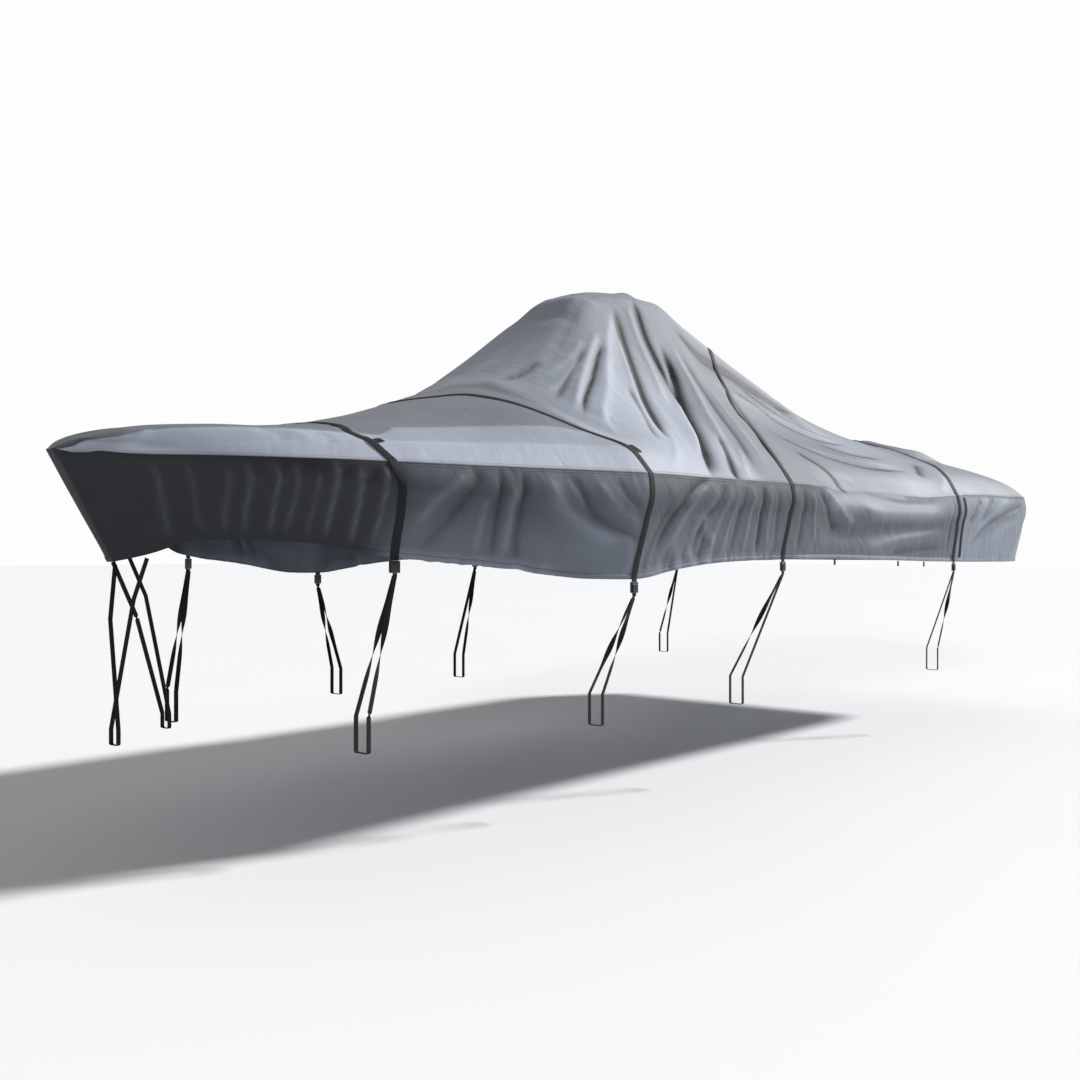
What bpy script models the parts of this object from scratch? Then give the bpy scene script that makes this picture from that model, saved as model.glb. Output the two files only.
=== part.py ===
"""Fitted cover of marine cloth for a centre-console boat on its trailer.

The boat and the trailer are left out, so the cover is hollow. Its cloth is a foredeck panel, a console panel that
rises over the console to a small flat crown, two skirts and a transom panel. Four webbing straps cross it, and each
ends at both hems in a cam buckle. From every buckle a tie goes down, round a trailer rail and back up.

The tables are in metres from the bow (aft), from the middle (out) and from the ground (up). The finished part has
-X at the bow, -Y to port, +Z up, and its origin where the console's top meets the underside of the crown.
"""

import math

import bpy
import bmesh
import numpy as np
from mathutils import Vector
from mathutils.bvhtree import BVHTree

# Cloth
CLOTH = 0.002
SEAM_GAP = 0.00035
RUB_RAIL_DOWN = 0.2
RUB_RAIL_OUT = 0.015

# Webbing, buckles and tabs
STRAP_WIDTH = 0.038
TIE_WIDTH = 0.025
WEB_THICK = 0.002
WEB_CLEAR = 0.0055
STRAP_KNOTS = (0.0, 0.30, 0.62, 0.86, 1.0)
STRAP_HALF_STEPS = 18
STRAP_DOWN_STEPS = (0.1, 0.2, 0.3, 0.46, 0.6, 0.74, 0.87, 0.985)
TOUCH_GAP = 0.0005
BUCKLE_SIZE = (0.048, 0.012, 0.052)
BUCKLE_EDGE = 0.002
BUCKLE_LEVER_INSET = 0.005
BUCKLE_LEVER_RISE = 0.003
TIE_LEGS_APART = 0.005
TIE_STRAIGHT = 0.012
HEM_DROP = 0.012
HEM_STRAIGHT = 0.0084
LAY_REACH = 0.15
FACING_STEP = 0.01
TAB_SIZE = (0.022, 0.004, 0.034)
TAB_DROP = 0.003
TAB_TAPER = 0.7

# Trailer rails, which are left out: the ties close round this section
RAIL_TOP = 0.58
RAIL_FLOOR = 0.43
RAIL_WIDTH = 0.075
LOOP_CLEAR = 0.0015
LOOP_RADIUS = 0.008
LOOP_ARC_STEPS = 3
BOW_RAIL_TOP = 0.56
BOW_RAIL_FLOOR = 0.50
BOW_RAIL_WIDTH = 0.05
BOW_WEB_WIDTH = 0.020

# The point under the crown that is the part's origin
CROWN_AFT = 3.60
CROWN_SIDE = 0.045

# A row for each section of the cover, bow to stern. sweep: how far aft of its middle a section ends at the seam.
# lean: how far the ridge stands to starboard.
SECTION_COLUMNS = (
    "aft", "sweep", "lean", "beam", "seam", "ridge", "spine", "hip_out", "hip",
    "waist_out", "waist", "rail_out", "rail", "hem_aft", "hem_out", "hem",
)
SECTIONS = (
    (0.00, 0.06, 0.00, 0.060, 1.668, 1.680, 0.02, 0.030, 1.679, 0.045, 1.677, 0.055, 1.672, 0.26, 0.025, 1.232),
    (0.10, 0.10, 0.00, 0.250, 1.662, 1.722, 0.05, 0.110, 1.720, 0.180, 1.710, 0.230, 1.690, 0.36, 0.110, 1.262),
    (0.34, 0.07, 0.00, 0.480, 1.656, 1.795, 0.12, 0.220, 1.791, 0.340, 1.768, 0.430, 1.705, 0.52, 0.270, 1.325),
    (0.76, 0.02, 0.00, 0.765, 1.650, 1.822, 0.18, 0.380, 1.812, 0.580, 1.780, 0.690, 1.712, 0.84, 0.560, 1.310),
    (1.02, 0.00, 0.00, 0.880, 1.647, 1.850, 0.18, 0.430, 1.834, 0.680, 1.772, 0.790, 1.728, 1.04, 0.710, 1.262),
    (1.62, 0.00, 0.02, 1.060, 1.645, 1.962, 0.20, 0.420, 1.925, 0.800, 1.815, 0.970, 1.740, 1.60, 0.950, 1.200),
    (2.10, 0.00, 0.05, 1.190, 1.647, 2.095, 0.24, 0.460, 2.045, 0.900, 1.870, 1.100, 1.750, 2.06, 1.100, 1.145),
    (2.34, 0.00, 0.06, 1.247, 1.647, 2.190, 0.24, 0.460, 2.105, 0.900, 1.880, 1.150, 1.765, 2.30, 1.170, 1.140),
    (2.70, 0.00, 0.06, 1.250, 1.648, 2.405, 0.22, 0.380, 2.330, 0.820, 2.000, 1.130, 1.785, 2.68, 1.185, 1.185),
    (3.00, 0.00, 0.06, 1.250, 1.650, 2.635, 0.16, 0.280, 2.575, 0.700, 2.130, 1.100, 1.792, 2.98, 1.190, 1.210),
    (3.20, 0.00, 0.06, 1.250, 1.650, 2.785, 0.12, 0.200, 2.735, 0.650, 2.180, 1.090, 1.795, 3.18, 1.190, 1.217),
    (3.45, 0.00, 0.05, 1.250, 1.651, 2.855, 0.11, 0.170, 2.820, 0.600, 2.230, 1.080, 1.800, 3.43, 1.190, 1.222),
    (3.90, 0.00, 0.04, 1.250, 1.652, 2.895, 0.11, 0.170, 2.855, 0.600, 2.230, 1.080, 1.800, 3.88, 1.190, 1.225),
    (4.28, 0.00, 0.03, 1.250, 1.655, 2.790, 0.08, 0.150, 2.735, 0.580, 2.150, 1.070, 1.800, 4.26, 1.190, 1.225),
    (4.86, 0.00, 0.02, 1.250, 1.658, 2.600, 0.08, 0.150, 2.550, 0.580, 2.085, 1.060, 1.800, 4.85, 1.190, 1.215),
    (5.89, 0.00, 0.02, 1.250, 1.662, 2.332, 0.08, 0.160, 2.282, 0.600, 2.010, 1.060, 1.800, 5.89, 1.190, 1.195),
    (6.75, 0.00, 0.02, 1.250, 1.690, 2.182, 0.08, 0.180, 2.150, 0.650, 2.005, 1.070, 1.845, 6.75, 1.190, 1.185),
    (7.35, 0.00, 0.01, 1.250, 1.695, 2.140, 0.08, 0.180, 2.105, 0.650, 1.985, 1.060, 1.835, 7.33, 1.190, 1.182),
    (7.70, -0.06, 0.00, 1.220, 1.700, 2.090, 0.08, 0.180, 2.065, 0.620, 1.955, 1.050, 1.825, 7.62, 1.150, 1.182),
    (7.85, -0.14, 0.00, 1.090, 1.705, 2.040, 0.08, 0.180, 2.020, 0.600, 1.920, 0.950, 1.800, 7.76, 1.040, 1.182),
)
SPINE_HIP_SHARE = 0.15
# Where, from the middle (0) to the seam (1), a section passes its ridge, spine, hip, waist, rail and seam points
SECTION_KNOTS = (0.0, 0.12, 0.30, 0.62, 0.86, 1.0)

# The grid that the cloth is cut on
STATION_STEPS = ((0.0, 0.34, 3), (0.34, 2.34, 11), (2.34, 4.42, 13), (4.42, 7.35, 12), (7.35, 7.85, 3))
ACROSS_HALF = (0.0, 0.12, 0.21, 0.30, 0.46, 0.62, 0.74, 0.86, 0.93, 1.0)
DOWN_STEPS = (0.0, 0.2, 0.46, 0.74, 1.0)
PANEL_SEAM_AFT = 2.34

# A row for each strap: where it crosses the ridge, hip, waist, rail and seam, and where it reaches the hem, as
# stations of the sections above. Then how far aft and out its tie passes round the rail.
STRAP_COLUMNS = ("number", "ridge", "hip", "waist", "rail", "seam", "hem", "rail_aft", "rail_side")
STRAPS = (
    (1, 1.17, 1.08, 0.98, 0.99, 1.02, 1.13, 1.00, 0.7125),
    (2, 2.05, 2.11, 2.25, 2.33, 2.34, 2.34, 2.27, 0.9700),
    (3, 4.75, 4.60, 4.24, 3.85, 3.71, 3.72, 3.41, 1.0700),
    (4, 6.98, 6.93, 6.80, 6.39, 6.14, 6.20, 5.93, 1.1500),
)
# The free end of each strap: how far aft of it, and from which side of the seam to which, it lies.
# Above the seam the values are fractions of the half section, and below it 1 plus the fraction of the skirt.
TAIL_COLUMNS = ("number", "aft", "start", "end")
TAILS = (
    (1, 0.043, 0.80, 0.86),
    (2, 0.043, 0.82, 0.88),
    (4, 0.105, 1.04, 1.93),
)
TAB_STATIONS = (4.37, 5.27, 5.69)

# Bow ties: both legs, from the hem to the top of the rail, as (aft, out, up). The port tie is nearer the bow.
BOW_TIES = {
    "port": ((0.270, 0.020, 1.222), (0.225, 0.060, 1.000), (0.360, 0.112, 1.248), (0.300, 0.110, 1.080)),
    "starboard": ((0.300, 0.050, 1.232), (0.420, 0.070, 1.000), (0.440, 0.190, 1.288), (0.520, 0.160, 1.080)),
}
BOW_RAIL_PLACE = {"port": (0.21, 0.12), "starboard": (0.60, 0.13)}

# Finishes: sRGB colour, roughness, metallic
FINISHES = {
    "cloth_top": ((0.60, 0.62, 0.65), 0.55, 0.0),
    "cloth_skirt": ((0.30, 0.32, 0.35), 0.55, 0.0),
    "webbing": ((0.045, 0.047, 0.052), 0.75, 0.0),
    "buckle": ((0.030, 0.030, 0.032), 0.45, 0.0),
}

SIDES = {"port": -1, "starboard": 1}
TABLE = np.array(SECTIONS)


def smooth(knots, values, at):
    """Monotone cubic through the rows of values, which stand at the knots, read at the places in at."""
    knots = np.asarray(knots, float)
    values = np.asarray(values, float)
    at = np.atleast_1d(np.asarray(at, float))
    steps = np.diff(knots)[:, None]
    slopes = np.diff(values, axis=0) / steps
    before, after = slopes[:-1], slopes[1:]
    same_way = before * after > 0
    heavy = 2 * steps[1:] + steps[:-1]
    light = steps[1:] + 2 * steps[:-1]
    share = heavy / np.where(same_way, before, 1.0) + light / np.where(same_way, after, 1.0)
    inner = np.where(same_way, (heavy + light) / np.where(same_way, share, 1.0), 0.0)
    tangents = np.vstack([slopes[:1], inner, slopes[-1:]])
    cell = np.clip(np.searchsorted(knots, at, side="right") - 1, 0, len(knots) - 2)
    width = steps[cell]
    part = (at - knots[cell])[:, None] / width
    low, high = values[cell], values[cell + 1]
    rise = 3 * part**2 - 2 * part**3
    return (
        (1 - rise) * low
        + rise * high
        + (part**3 - 2 * part**2 + part) * width * tangents[cell]
        + (part**3 - part**2) * width * tangents[cell + 1]
    )


def section(aft):
    """One section of the cover, as a dict of its columns."""
    return dict(zip(SECTION_COLUMNS, smooth(TABLE[:, 0], TABLE, aft)[0]))


def top_point(aft, across):
    """A point of the cover's top. across runs from -1 at the port seam to 1 at the starboard one."""
    row = section(aft)
    share = abs(across)
    spine = (1 - SPINE_HIP_SHARE) * row["ridge"] + SPINE_HIP_SHARE * row["hip"]
    outline = (
        (0.0, row["ridge"]),
        (row["spine"], spine),
        (row["hip_out"], row["hip"]),
        (row["waist_out"], row["waist"]),
        (row["rail_out"], row["rail"]),
        (row["beam"], row["seam"]),
    )
    out, up = smooth(SECTION_KNOTS, outline, share)[0]
    side = math.copysign(out, across) + row["lean"] * (1 - share)
    return Vector((aft + row["sweep"] * share**3, side, up))


def skirt_point(aft, across, down):
    """A point of the skirt under the top's edge at (aft, across), from the seam (0) to the hem (1)."""
    row = section(aft)
    seam = top_point(aft, across)
    hem = Vector((row["hem_aft"], seam.y / row["beam"] * row["hem_out"], row["hem"]))
    rail_out = math.copysign(RUB_RAIL_OUT, across) if abs(across) == 1 else 0.0
    inward = smooth((0.0, RUB_RAIL_DOWN, 1.0), ((0.0,), (0.0,), (1.0,)), down)[0][0]
    bulge = math.sin(math.pi * min(1.0, down / (2 * RUB_RAIL_DOWN)))
    point = seam.lerp(hem, down)
    point.y = seam.y + (hem.y - seam.y) * inward + rail_out * bulge
    return point


def origin():
    """The point of the tables' frame that is the part's origin: the underside of the crown."""
    crown = top_point(CROWN_AFT, 0.0)
    return Vector((CROWN_AFT, CROWN_SIDE, crown.z - CLOTH))


def stations():
    """The sections' stations that the cloth's grid uses, bow to stern."""
    runs = [np.linspace(low, high, count, endpoint=False) for low, high, count in STATION_STEPS]
    return np.concatenate(runs + [[STATION_STEPS[-1][1]]])


def across_steps():
    """The grid's places across a section, port to starboard."""
    half = np.array(ACROSS_HALF)
    return np.concatenate([-half[:0:-1], half])


def rim():
    """The top's edge once round, as (aft, across): port side, stern, starboard side, bow."""
    along, over = stations(), across_steps()
    port = [(aft, -1.0) for aft in along]
    stern = [(along[-1], across) for across in over[1:-1]]
    starboard = [(aft, 1.0) for aft in along[::-1]]
    bow = [(along[0], across) for across in over[-2:0:-1]]
    return port + stern + starboard + bow


def grid_normals(points, closed):
    """Outward normals of a grid of points. closed: the second direction runs round to its start."""
    if closed:
        around = np.roll(points, -1, axis=1) - np.roll(points, 1, axis=1)
    else:
        around = np.gradient(points, axis=1)
    normals = np.cross(np.gradient(points, axis=0), around)
    return normals / np.linalg.norm(normals, axis=2, keepdims=True)


def cloth_grids():
    """The top and the skirt as grids of (points, normals) that agree along the seam between them."""
    top = np.array([[top_point(aft, across) for across in across_steps()] for aft in stations()])
    edge = rim()
    skirt = np.array([[skirt_point(aft, across, down) for aft, across in edge] for down in DOWN_STEPS])
    top_normals = grid_normals(top, closed=False)
    skirt_normals = grid_normals(skirt, closed=True)
    rows, columns = {aft: i for i, aft in enumerate(stations())}, {a: i for i, a in enumerate(across_steps())}
    for place, (aft, across) in enumerate(edge):
        cell = rows[aft], columns[across]
        shared = top_normals[cell] + skirt_normals[0, place]
        shared /= np.linalg.norm(shared)
        top_normals[cell] = shared
        skirt_normals[0, place] = shared
    return (top, top_normals), (skirt, skirt_normals)


def drawn_in(points, gap):
    """The grid with each of its four edges moved in along the cloth by the gap."""
    moved = points.copy()
    for edge, inner, axis in ((0, 1, 0), (-1, -2, 0), (0, 1, 1), (-1, -2, 1)):
        at = [slice(None), slice(None)]
        at[axis] = edge
        beside = [slice(None), slice(None)]
        beside[axis] = inner
        step = points[tuple(beside)] - points[tuple(at)]
        moved[tuple(at)] += gap * step / np.linalg.norm(step, axis=1, keepdims=True)
    return moved


def finished(name, mesh_data, finish):
    """A named object from a bmesh, with its Principled material, its place in its mesh."""
    bmesh.ops.triangulate(mesh_data, faces=mesh_data.faces)
    bmesh.ops.translate(mesh_data, verts=mesh_data.verts, vec=-origin())
    mesh = bpy.data.meshes.new(name)
    mesh_data.to_mesh(mesh)
    mesh_data.free()
    mesh.materials.append(material(finish))
    made = bpy.data.objects.new(name, mesh)
    bpy.context.scene.collection.objects.link(made)
    return made


def material(finish):
    """The finish's material, made once."""
    if finish in bpy.data.materials:
        return bpy.data.materials[finish]
    colour, roughness, metallic = FINISHES[finish]
    made = bpy.data.materials.new(finish)
    made.use_nodes = True
    shader = made.node_tree.nodes["Principled BSDF"]
    linear = [((c + 0.055) / 1.055) ** 2.4 if c > 0.04045 else c / 12.92 for c in colour]
    shader.inputs["Base Color"].default_value = (*linear, 1.0)
    shader.inputs["Roughness"].default_value = roughness
    shader.inputs["Metallic"].default_value = metallic
    return made


def cloth_panel(name, points, normals, finish):
    """A closed sheet of cloth: the grid as its outer face, and its inner face one thickness behind."""
    outer = drawn_in(points, SEAM_GAP)
    inner = outer - CLOTH * normals
    rows, columns = points.shape[:2]
    cloth = bmesh.new()
    outside = [[cloth.verts.new(outer[i, j]) for j in range(columns)] for i in range(rows)]
    inside = [[cloth.verts.new(inner[i, j]) for j in range(columns)] for i in range(rows)]
    for i in range(rows - 1):
        for j in range(columns - 1):
            cells = ((i, j), (i + 1, j), (i + 1, j + 1), (i, j + 1))
            cloth.faces.new([outside[a][b] for a, b in cells])
            cloth.faces.new([inside[a][b] for a, b in reversed(cells)])
    edge = [(0, j) for j in range(columns)]
    edge += [(i, columns - 1) for i in range(1, rows)]
    edge += [(rows - 1, j) for j in range(columns - 2, -1, -1)]
    edge += [(i, 0) for i in range(rows - 2, 0, -1)]
    for (a, b), (c, d) in zip(edge, edge[1:] + edge[:1]):
        cloth.faces.new([outside[a][b], outside[c][d], inside[c][d], inside[a][b]])
    return finished(name, cloth, finish)


def make_cloth():
    """The five cloth panels."""
    (top, top_normals), (skirt, skirt_normals) = cloth_grids()
    along, over = stations(), across_steps()
    seam = int(np.argmin(abs(along - PANEL_SEAM_AFT)))
    lengths, widths = len(along), len(over)
    middle = (widths - 1) // 2
    panels = [
        cloth_panel("foredeck_panel", top[: seam + 1], top_normals[: seam + 1], "cloth_top"),
        cloth_panel("console_panel", top[seam:], top_normals[seam:], "cloth_top"),
    ]
    # round the rim: the port side starts at 0, the stern at lengths - 1, starboard after the stern
    stern = lengths - 1
    starboard = stern + widths - 1
    bow = starboard + lengths - 1
    around = skirt.shape[1]
    spans = {
        "skirt_port": list(range(bow + middle, around)) + list(range(0, lengths)),
        "transom_panel": list(range(stern, starboard + 1)),
        "skirt_starboard": list(range(starboard, bow + middle + 1)),
    }
    for name, span in spans.items():
        panels.append(cloth_panel(name, skirt[:, span], skirt_normals[:, span], "cloth_skirt"))
    return panels


def ribbon(name, path, facings, width, finish="webbing"):
    """A closed flat web along the path, each point with the way that the web's outer face looks."""
    path = [Vector(point) for point in path]
    web = bmesh.new()
    rings = []
    for index, point in enumerate(path):
        ahead = path[min(index + 1, len(path) - 1)] - point
        behind = point - path[max(index - 1, 0)]
        along = (ahead.normalized() + behind.normalized()).normalized()
        facing = Vector(facings[index])
        facing = (facing - facing.dot(along) * along).normalized()
        side = along.cross(facing)
        turn = max(ahead.normalized().dot(along), behind.normalized().dot(along), 0.7)
        thick = facing * (WEB_THICK / 2 / turn)
        half = side * (width / 2)
        corners = (point - half + thick, point + half + thick, point + half - thick, point - half - thick)
        rings.append([web.verts.new(corner) for corner in corners])
    for low, high in zip(rings, rings[1:]):
        for k in range(4):
            after = (k + 1) % 4
            web.faces.new([low[k], low[after], high[after], high[k]])
    web.faces.new(rings[0][::-1])
    web.faces.new(rings[-1])
    bmesh.ops.recalc_face_normals(web, faces=web.faces)
    return finished(name, web, finish)


class Draper:
    """Lays webbing on the finished cloth."""

    def __init__(self, panels):
        points, faces = [], []
        for panel in panels:
            first = len(points)
            points += [vertex.co + origin() for vertex in panel.data.vertices]
            faces += [[first + k for k in face.vertices] for face in panel.data.polygons]
        self.tree = BVHTree.FromPolygons(points, faces)

    def height(self, point, facing):
        """How far the cloth stands above the point, along the way that it faces."""
        hit = self.tree.ray_cast(point + LAY_REACH * facing, -facing, 2 * LAY_REACH)
        return -LAY_REACH if hit[0] is None else LAY_REACH - hit[3]

    def lay(self, path, facings, width):
        """The path lifted off the cloth so that neither edge of the web touches it."""
        heights = []
        for index, point in enumerate(path):
            along = path[min(index + 1, len(path) - 1)] - path[max(index - 1, 0)]
            half = along.cross(facings[index]).normalized() * (width / 2)
            heights.append(max(self.height(point + k * half, facings[index]) for k in (-1, 0, 1)))
        lifted = []
        for index, point in enumerate(path):
            near = max(heights[max(index - 1, 0) : index + 2])
            lifted.append(point + (near + WEB_CLEAR) * facings[index])
        return lifted


def cover_point(aft, across, down):
    """A point of the cover, on the top while down is 0 and on the skirt below it."""
    return skirt_point(aft, across, down) if down > 0 else top_point(aft, across)


def facing_of(aft, across, down):
    """The way that the cover faces at a point, by small steps over it."""
    step = FACING_STEP
    if down > 0:
        low = skirt_point(aft, across, max(down - step, 0.001))
        high = skirt_point(aft, across, min(down + step, 1.0))
    else:
        low = top_point(aft, max(across - step, -1.0))
        high = top_point(aft, min(across + step, 1.0))
    fore = cover_point(aft - step, across, down)
    after = cover_point(aft + step, across, down)
    facing = (after - fore).cross(high - low)
    outward = Vector((0, across, 0)) if down > 0 else Vector((0, 0, 1))
    return facing.normalized() if facing.dot(outward) > 0 else -facing.normalized()


def strap_station(strap, share):
    """The station that a strap passes at a share of one side, from the ridge (0) to the seam (1)."""
    crossings = [(strap[place],) for place in ("ridge", "hip", "waist", "rail", "seam")]
    return float(smooth(STRAP_KNOTS, crossings, share)[0][0])


def side_route(strap, side):
    """A strap's way from the ridge to one hem, as (aft, across, down)."""
    shares = np.linspace(0.0, 1.0, STRAP_HALF_STEPS + 1)
    over = [(strap_station(strap, share), side * share, 0.0) for share in shares]
    run = strap["hem"] - strap["seam"]
    fall = [(strap["seam"] + run * down, side * 1.0, down) for down in STRAP_DOWN_STEPS]
    return over + fall


def blended(facings):
    """Each facing averaged with its neighbours, so that a web turns smoothly over an edge."""
    ends = [facings[0]] + list(facings) + [facings[-1]]
    return [(ends[k] + ends[k + 1] + ends[k + 2]).normalized() for k in range(len(facings))]


def hem_facing(strap, side):
    """The way, level, that the hem faces where a strap ends."""
    along = skirt_point(strap["hem"] + FACING_STEP, side, 1.0) - skirt_point(strap["hem"] - FACING_STEP, side, 1.0)
    return Vector((-along.y, along.x, 0)).normalized() * side


def hem_end(strap, side):
    """Where a strap ends below the hem, outside it."""
    hem = skirt_point(strap["hem"], side, 1.0)
    return hem + (WEB_CLEAR + WEB_THICK) * hem_facing(strap, side) - Vector((0, 0, HEM_DROP))


def make_strap(strap, draper):
    """A strap from the port buckle over the cover to the starboard one."""
    route = side_route(strap, -1)[::-1] + side_route(strap, 1)[1:]
    path = [cover_point(*place) for place in route]
    facings = blended([facing_of(*place) for place in route])
    path = draper.lay(path, facings, STRAP_WIDTH)
    port, starboard = hem_end(strap, -1), hem_end(strap, 1)
    rise = Vector((0, 0, HEM_STRAIGHT))
    path = [port, port + rise] + path + [starboard + rise, starboard]
    facings = [hem_facing(strap, -1)] * 2 + facings + [hem_facing(strap, 1)] * 2
    ribbon(f"strap_{strap['number']}", path, facings, STRAP_WIDTH)


def make_tail(tail, strap, side_name, draper):
    """The free end of a strap, lying on the cloth just aft of it."""
    side = SIDES[side_name]
    places = []
    for share in np.linspace(tail["start"], tail["end"], 9 if tail["end"] > 1 else 4):
        down = max(0.0, share - 1)
        across = side * min(1.0, share)
        aft = strap_station(strap, abs(across)) + (strap["hem"] - strap["seam"]) * down
        places.append((aft + tail["aft"], across, down))
    path = [cover_point(*place) for place in places]
    facings = [facing_of(*place) for place in places]
    path = draper.lay(path, facings, STRAP_WIDTH)
    ribbon(f"strap_{tail['number']}_tail_{side_name}", path, facings, STRAP_WIDTH)


def buckle_top(strap, side):
    """The middle of a buckle's upper face."""
    return hem_end(strap, side) - Vector((0, 0, TOUCH_GAP))


def make_buckle(strap, side_name):
    """A closed cam buckle, its lever a raised pad on its outer face."""
    side = SIDES[side_name]
    body = bmesh.new()
    bmesh.ops.create_cube(body, size=1.0)
    bmesh.ops.scale(body, vec=BUCKLE_SIZE, verts=body.verts)
    bmesh.ops.bevel(body, geom=body.edges[:], offset=BUCKLE_EDGE, segments=1, affect="EDGES")
    face = max(body.faces, key=lambda f: side * f.calc_center_median().y)
    bmesh.ops.inset_region(body, faces=[face], thickness=BUCKLE_LEVER_INSET)
    bmesh.ops.translate(body, verts=face.verts, vec=(0, side * BUCKLE_LEVER_RISE, 0))
    turn = Vector((0, side, 0)).rotation_difference(hem_facing(strap, side))
    bmesh.ops.rotate(body, verts=body.verts, cent=(0, 0, 0), matrix=turn.to_matrix())
    drop = Vector((0, 0, BUCKLE_SIZE[2] / 2))
    bmesh.ops.translate(body, verts=body.verts, vec=buckle_top(strap, side) - drop)
    finished(f"buckle_{strap['number']}_{side_name}", body, "buckle")


def rail_loop(aft, side_out, side, top, floor, width):
    """The way of a web round a rail's section, from its outer top edge under it to its inner top edge."""
    reach = width / 2 + LOOP_CLEAR + WEB_THICK / 2
    low = floor - LOOP_CLEAR - WEB_THICK / 2
    points = [(side_out + reach, top)]
    for corner, start in ((reach, 0.0), (-reach, math.pi / 2)):
        centre = side_out + math.copysign(abs(corner) - LOOP_RADIUS, corner)
        for step in range(LOOP_ARC_STEPS + 1):
            angle = start + math.pi / 2 * step / LOOP_ARC_STEPS
            out = centre + LOOP_RADIUS * math.cos(angle)
            points.append((out, low + LOOP_RADIUS - LOOP_RADIUS * math.sin(angle)))
    points.append((side_out - reach, top))
    path = [Vector((aft, side * out, up)) for out, up in points]
    middle = Vector((aft, side * side_out, (top + floor) / 2))
    return path, middle


def web_loop(name, outer_leg, inner_leg, loop, middle, width):
    """A tie: down its outer leg, round the rail and up its inner leg, its outer face away from the rail."""
    path = outer_leg + loop + inner_leg[::-1]
    facings = []
    for index, point in enumerate(path):
        along = path[min(index + 1, len(path) - 1)] - path[max(index - 1, 0)]
        facing = Vector((1, 0, 0)).cross(along)
        if facing.dot(point - Vector((point.x, middle.y, middle.z))) < 0:
            facing = -facing
        facings.append(facing)
    ribbon(name, path, facings, width)


def make_tie(strap, side_name):
    """The tie from a buckle round the trailer's rail and back."""
    side = SIDES[side_name]
    bottom = buckle_top(strap, side) - Vector((0, 0, BUCKLE_SIZE[2] + TOUCH_GAP))
    rail = strap["rail_aft"], strap["rail_side"], side
    loop, middle = rail_loop(*rail, RAIL_TOP, RAIL_FLOOR, RAIL_WIDTH)
    apart = Vector((0, side * TIE_LEGS_APART / 2, 0))
    below = bottom - Vector((0, 0, TIE_STRAIGHT))
    outer_leg = [bottom + apart, below + apart]
    inner_leg = [bottom - apart, below - apart]
    web_loop(f"tie_{strap['number']}_{side_name}", outer_leg, inner_leg, loop, middle, TIE_WIDTH)


def make_bow_tie(side_name):
    """A bow tie: two legs from the hem that meet above the trailer's tongue and go round it."""
    side = SIDES[side_name]
    points = [Vector((aft, side * out, up)) for aft, out, up in BOW_TIES[side_name]]
    aft, out = BOW_RAIL_PLACE[side_name]
    loop, middle = rail_loop(aft, out, side, BOW_RAIL_TOP, BOW_RAIL_FLOOR, BOW_RAIL_WIDTH)
    web_loop(f"bow_tie_{side_name}", points[:2], points[2:], loop, middle, BOW_WEB_WIDTH)


def make_tab(number, aft, side_name):
    """A webbing tab folded under the hem, for a hook."""
    side = SIDES[side_name]
    hem = skirt_point(aft, side, 1.0)
    tab = bmesh.new()
    bmesh.ops.create_cube(tab, size=1.0)
    bmesh.ops.scale(tab, vec=TAB_SIZE, verts=tab.verts)
    low = [vertex for vertex in tab.verts if vertex.co.z < 0]
    bmesh.ops.scale(tab, vec=(TAB_TAPER, 1, 1), verts=low)
    bmesh.ops.translate(tab, verts=tab.verts, vec=hem - Vector((0, 0, TAB_DROP + TAB_SIZE[2] / 2)))
    finished(f"hem_tab_{number}_{side_name}", tab, "webbing")


def clear_scene():
    """Removes whatever the scene holds."""
    for old in list(bpy.data.objects):
        bpy.data.objects.remove(old)


def main():
    clear_scene()
    draper = Draper(make_cloth())
    straps = {row[0]: dict(zip(STRAP_COLUMNS, row)) for row in STRAPS}
    tails = [dict(zip(TAIL_COLUMNS, row)) for row in TAILS]
    for strap in straps.values():
        make_strap(strap, draper)
    for side_name in SIDES:
        for strap in straps.values():
            make_buckle(strap, side_name)
            make_tie(strap, side_name)
        for tail in tails:
            make_tail(tail, straps[tail["number"]], side_name, draper)
        for number, aft in enumerate(TAB_STATIONS, start=1):
            make_tab(number, aft, side_name)
        make_bow_tie(side_name)


main()
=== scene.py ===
"""Looks of a fitted marine-cloth cover for a centre-console boat: cloth, webbing, buckles, ties and a plain studio.

The tables are in metres from the bow (aft), from the middle (out) and from the ground (up). A place on the cover is
(station, share): the share runs from 0 on the ridge to 1 on the gunwale seam and on to 2 at the hem.
"""

import logging
import math
from dataclasses import dataclass, field
from enum import Enum

import bpy
import bmesh
import numpy as np
from mathutils import Matrix, Vector
from mathutils.bvhtree import BVHTree


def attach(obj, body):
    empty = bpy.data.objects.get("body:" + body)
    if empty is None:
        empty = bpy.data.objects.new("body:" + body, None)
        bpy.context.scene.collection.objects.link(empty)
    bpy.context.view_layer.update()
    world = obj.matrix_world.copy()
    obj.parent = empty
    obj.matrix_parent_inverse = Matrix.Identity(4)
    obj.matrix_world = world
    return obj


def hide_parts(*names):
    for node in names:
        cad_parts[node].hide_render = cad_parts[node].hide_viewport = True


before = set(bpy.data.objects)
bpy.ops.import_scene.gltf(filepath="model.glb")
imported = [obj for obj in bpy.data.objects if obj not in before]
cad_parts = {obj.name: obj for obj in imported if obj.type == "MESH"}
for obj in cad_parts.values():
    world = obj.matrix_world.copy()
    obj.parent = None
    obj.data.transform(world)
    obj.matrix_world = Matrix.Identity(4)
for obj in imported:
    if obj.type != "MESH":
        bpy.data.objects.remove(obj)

Object, Material = bpy.types.Object, bpy.types.Material
Tree, Node, Socket = bpy.types.NodeTree, bpy.types.Node, bpy.types.NodeSocket

log = logging.getLogger("boat_cover")

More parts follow.
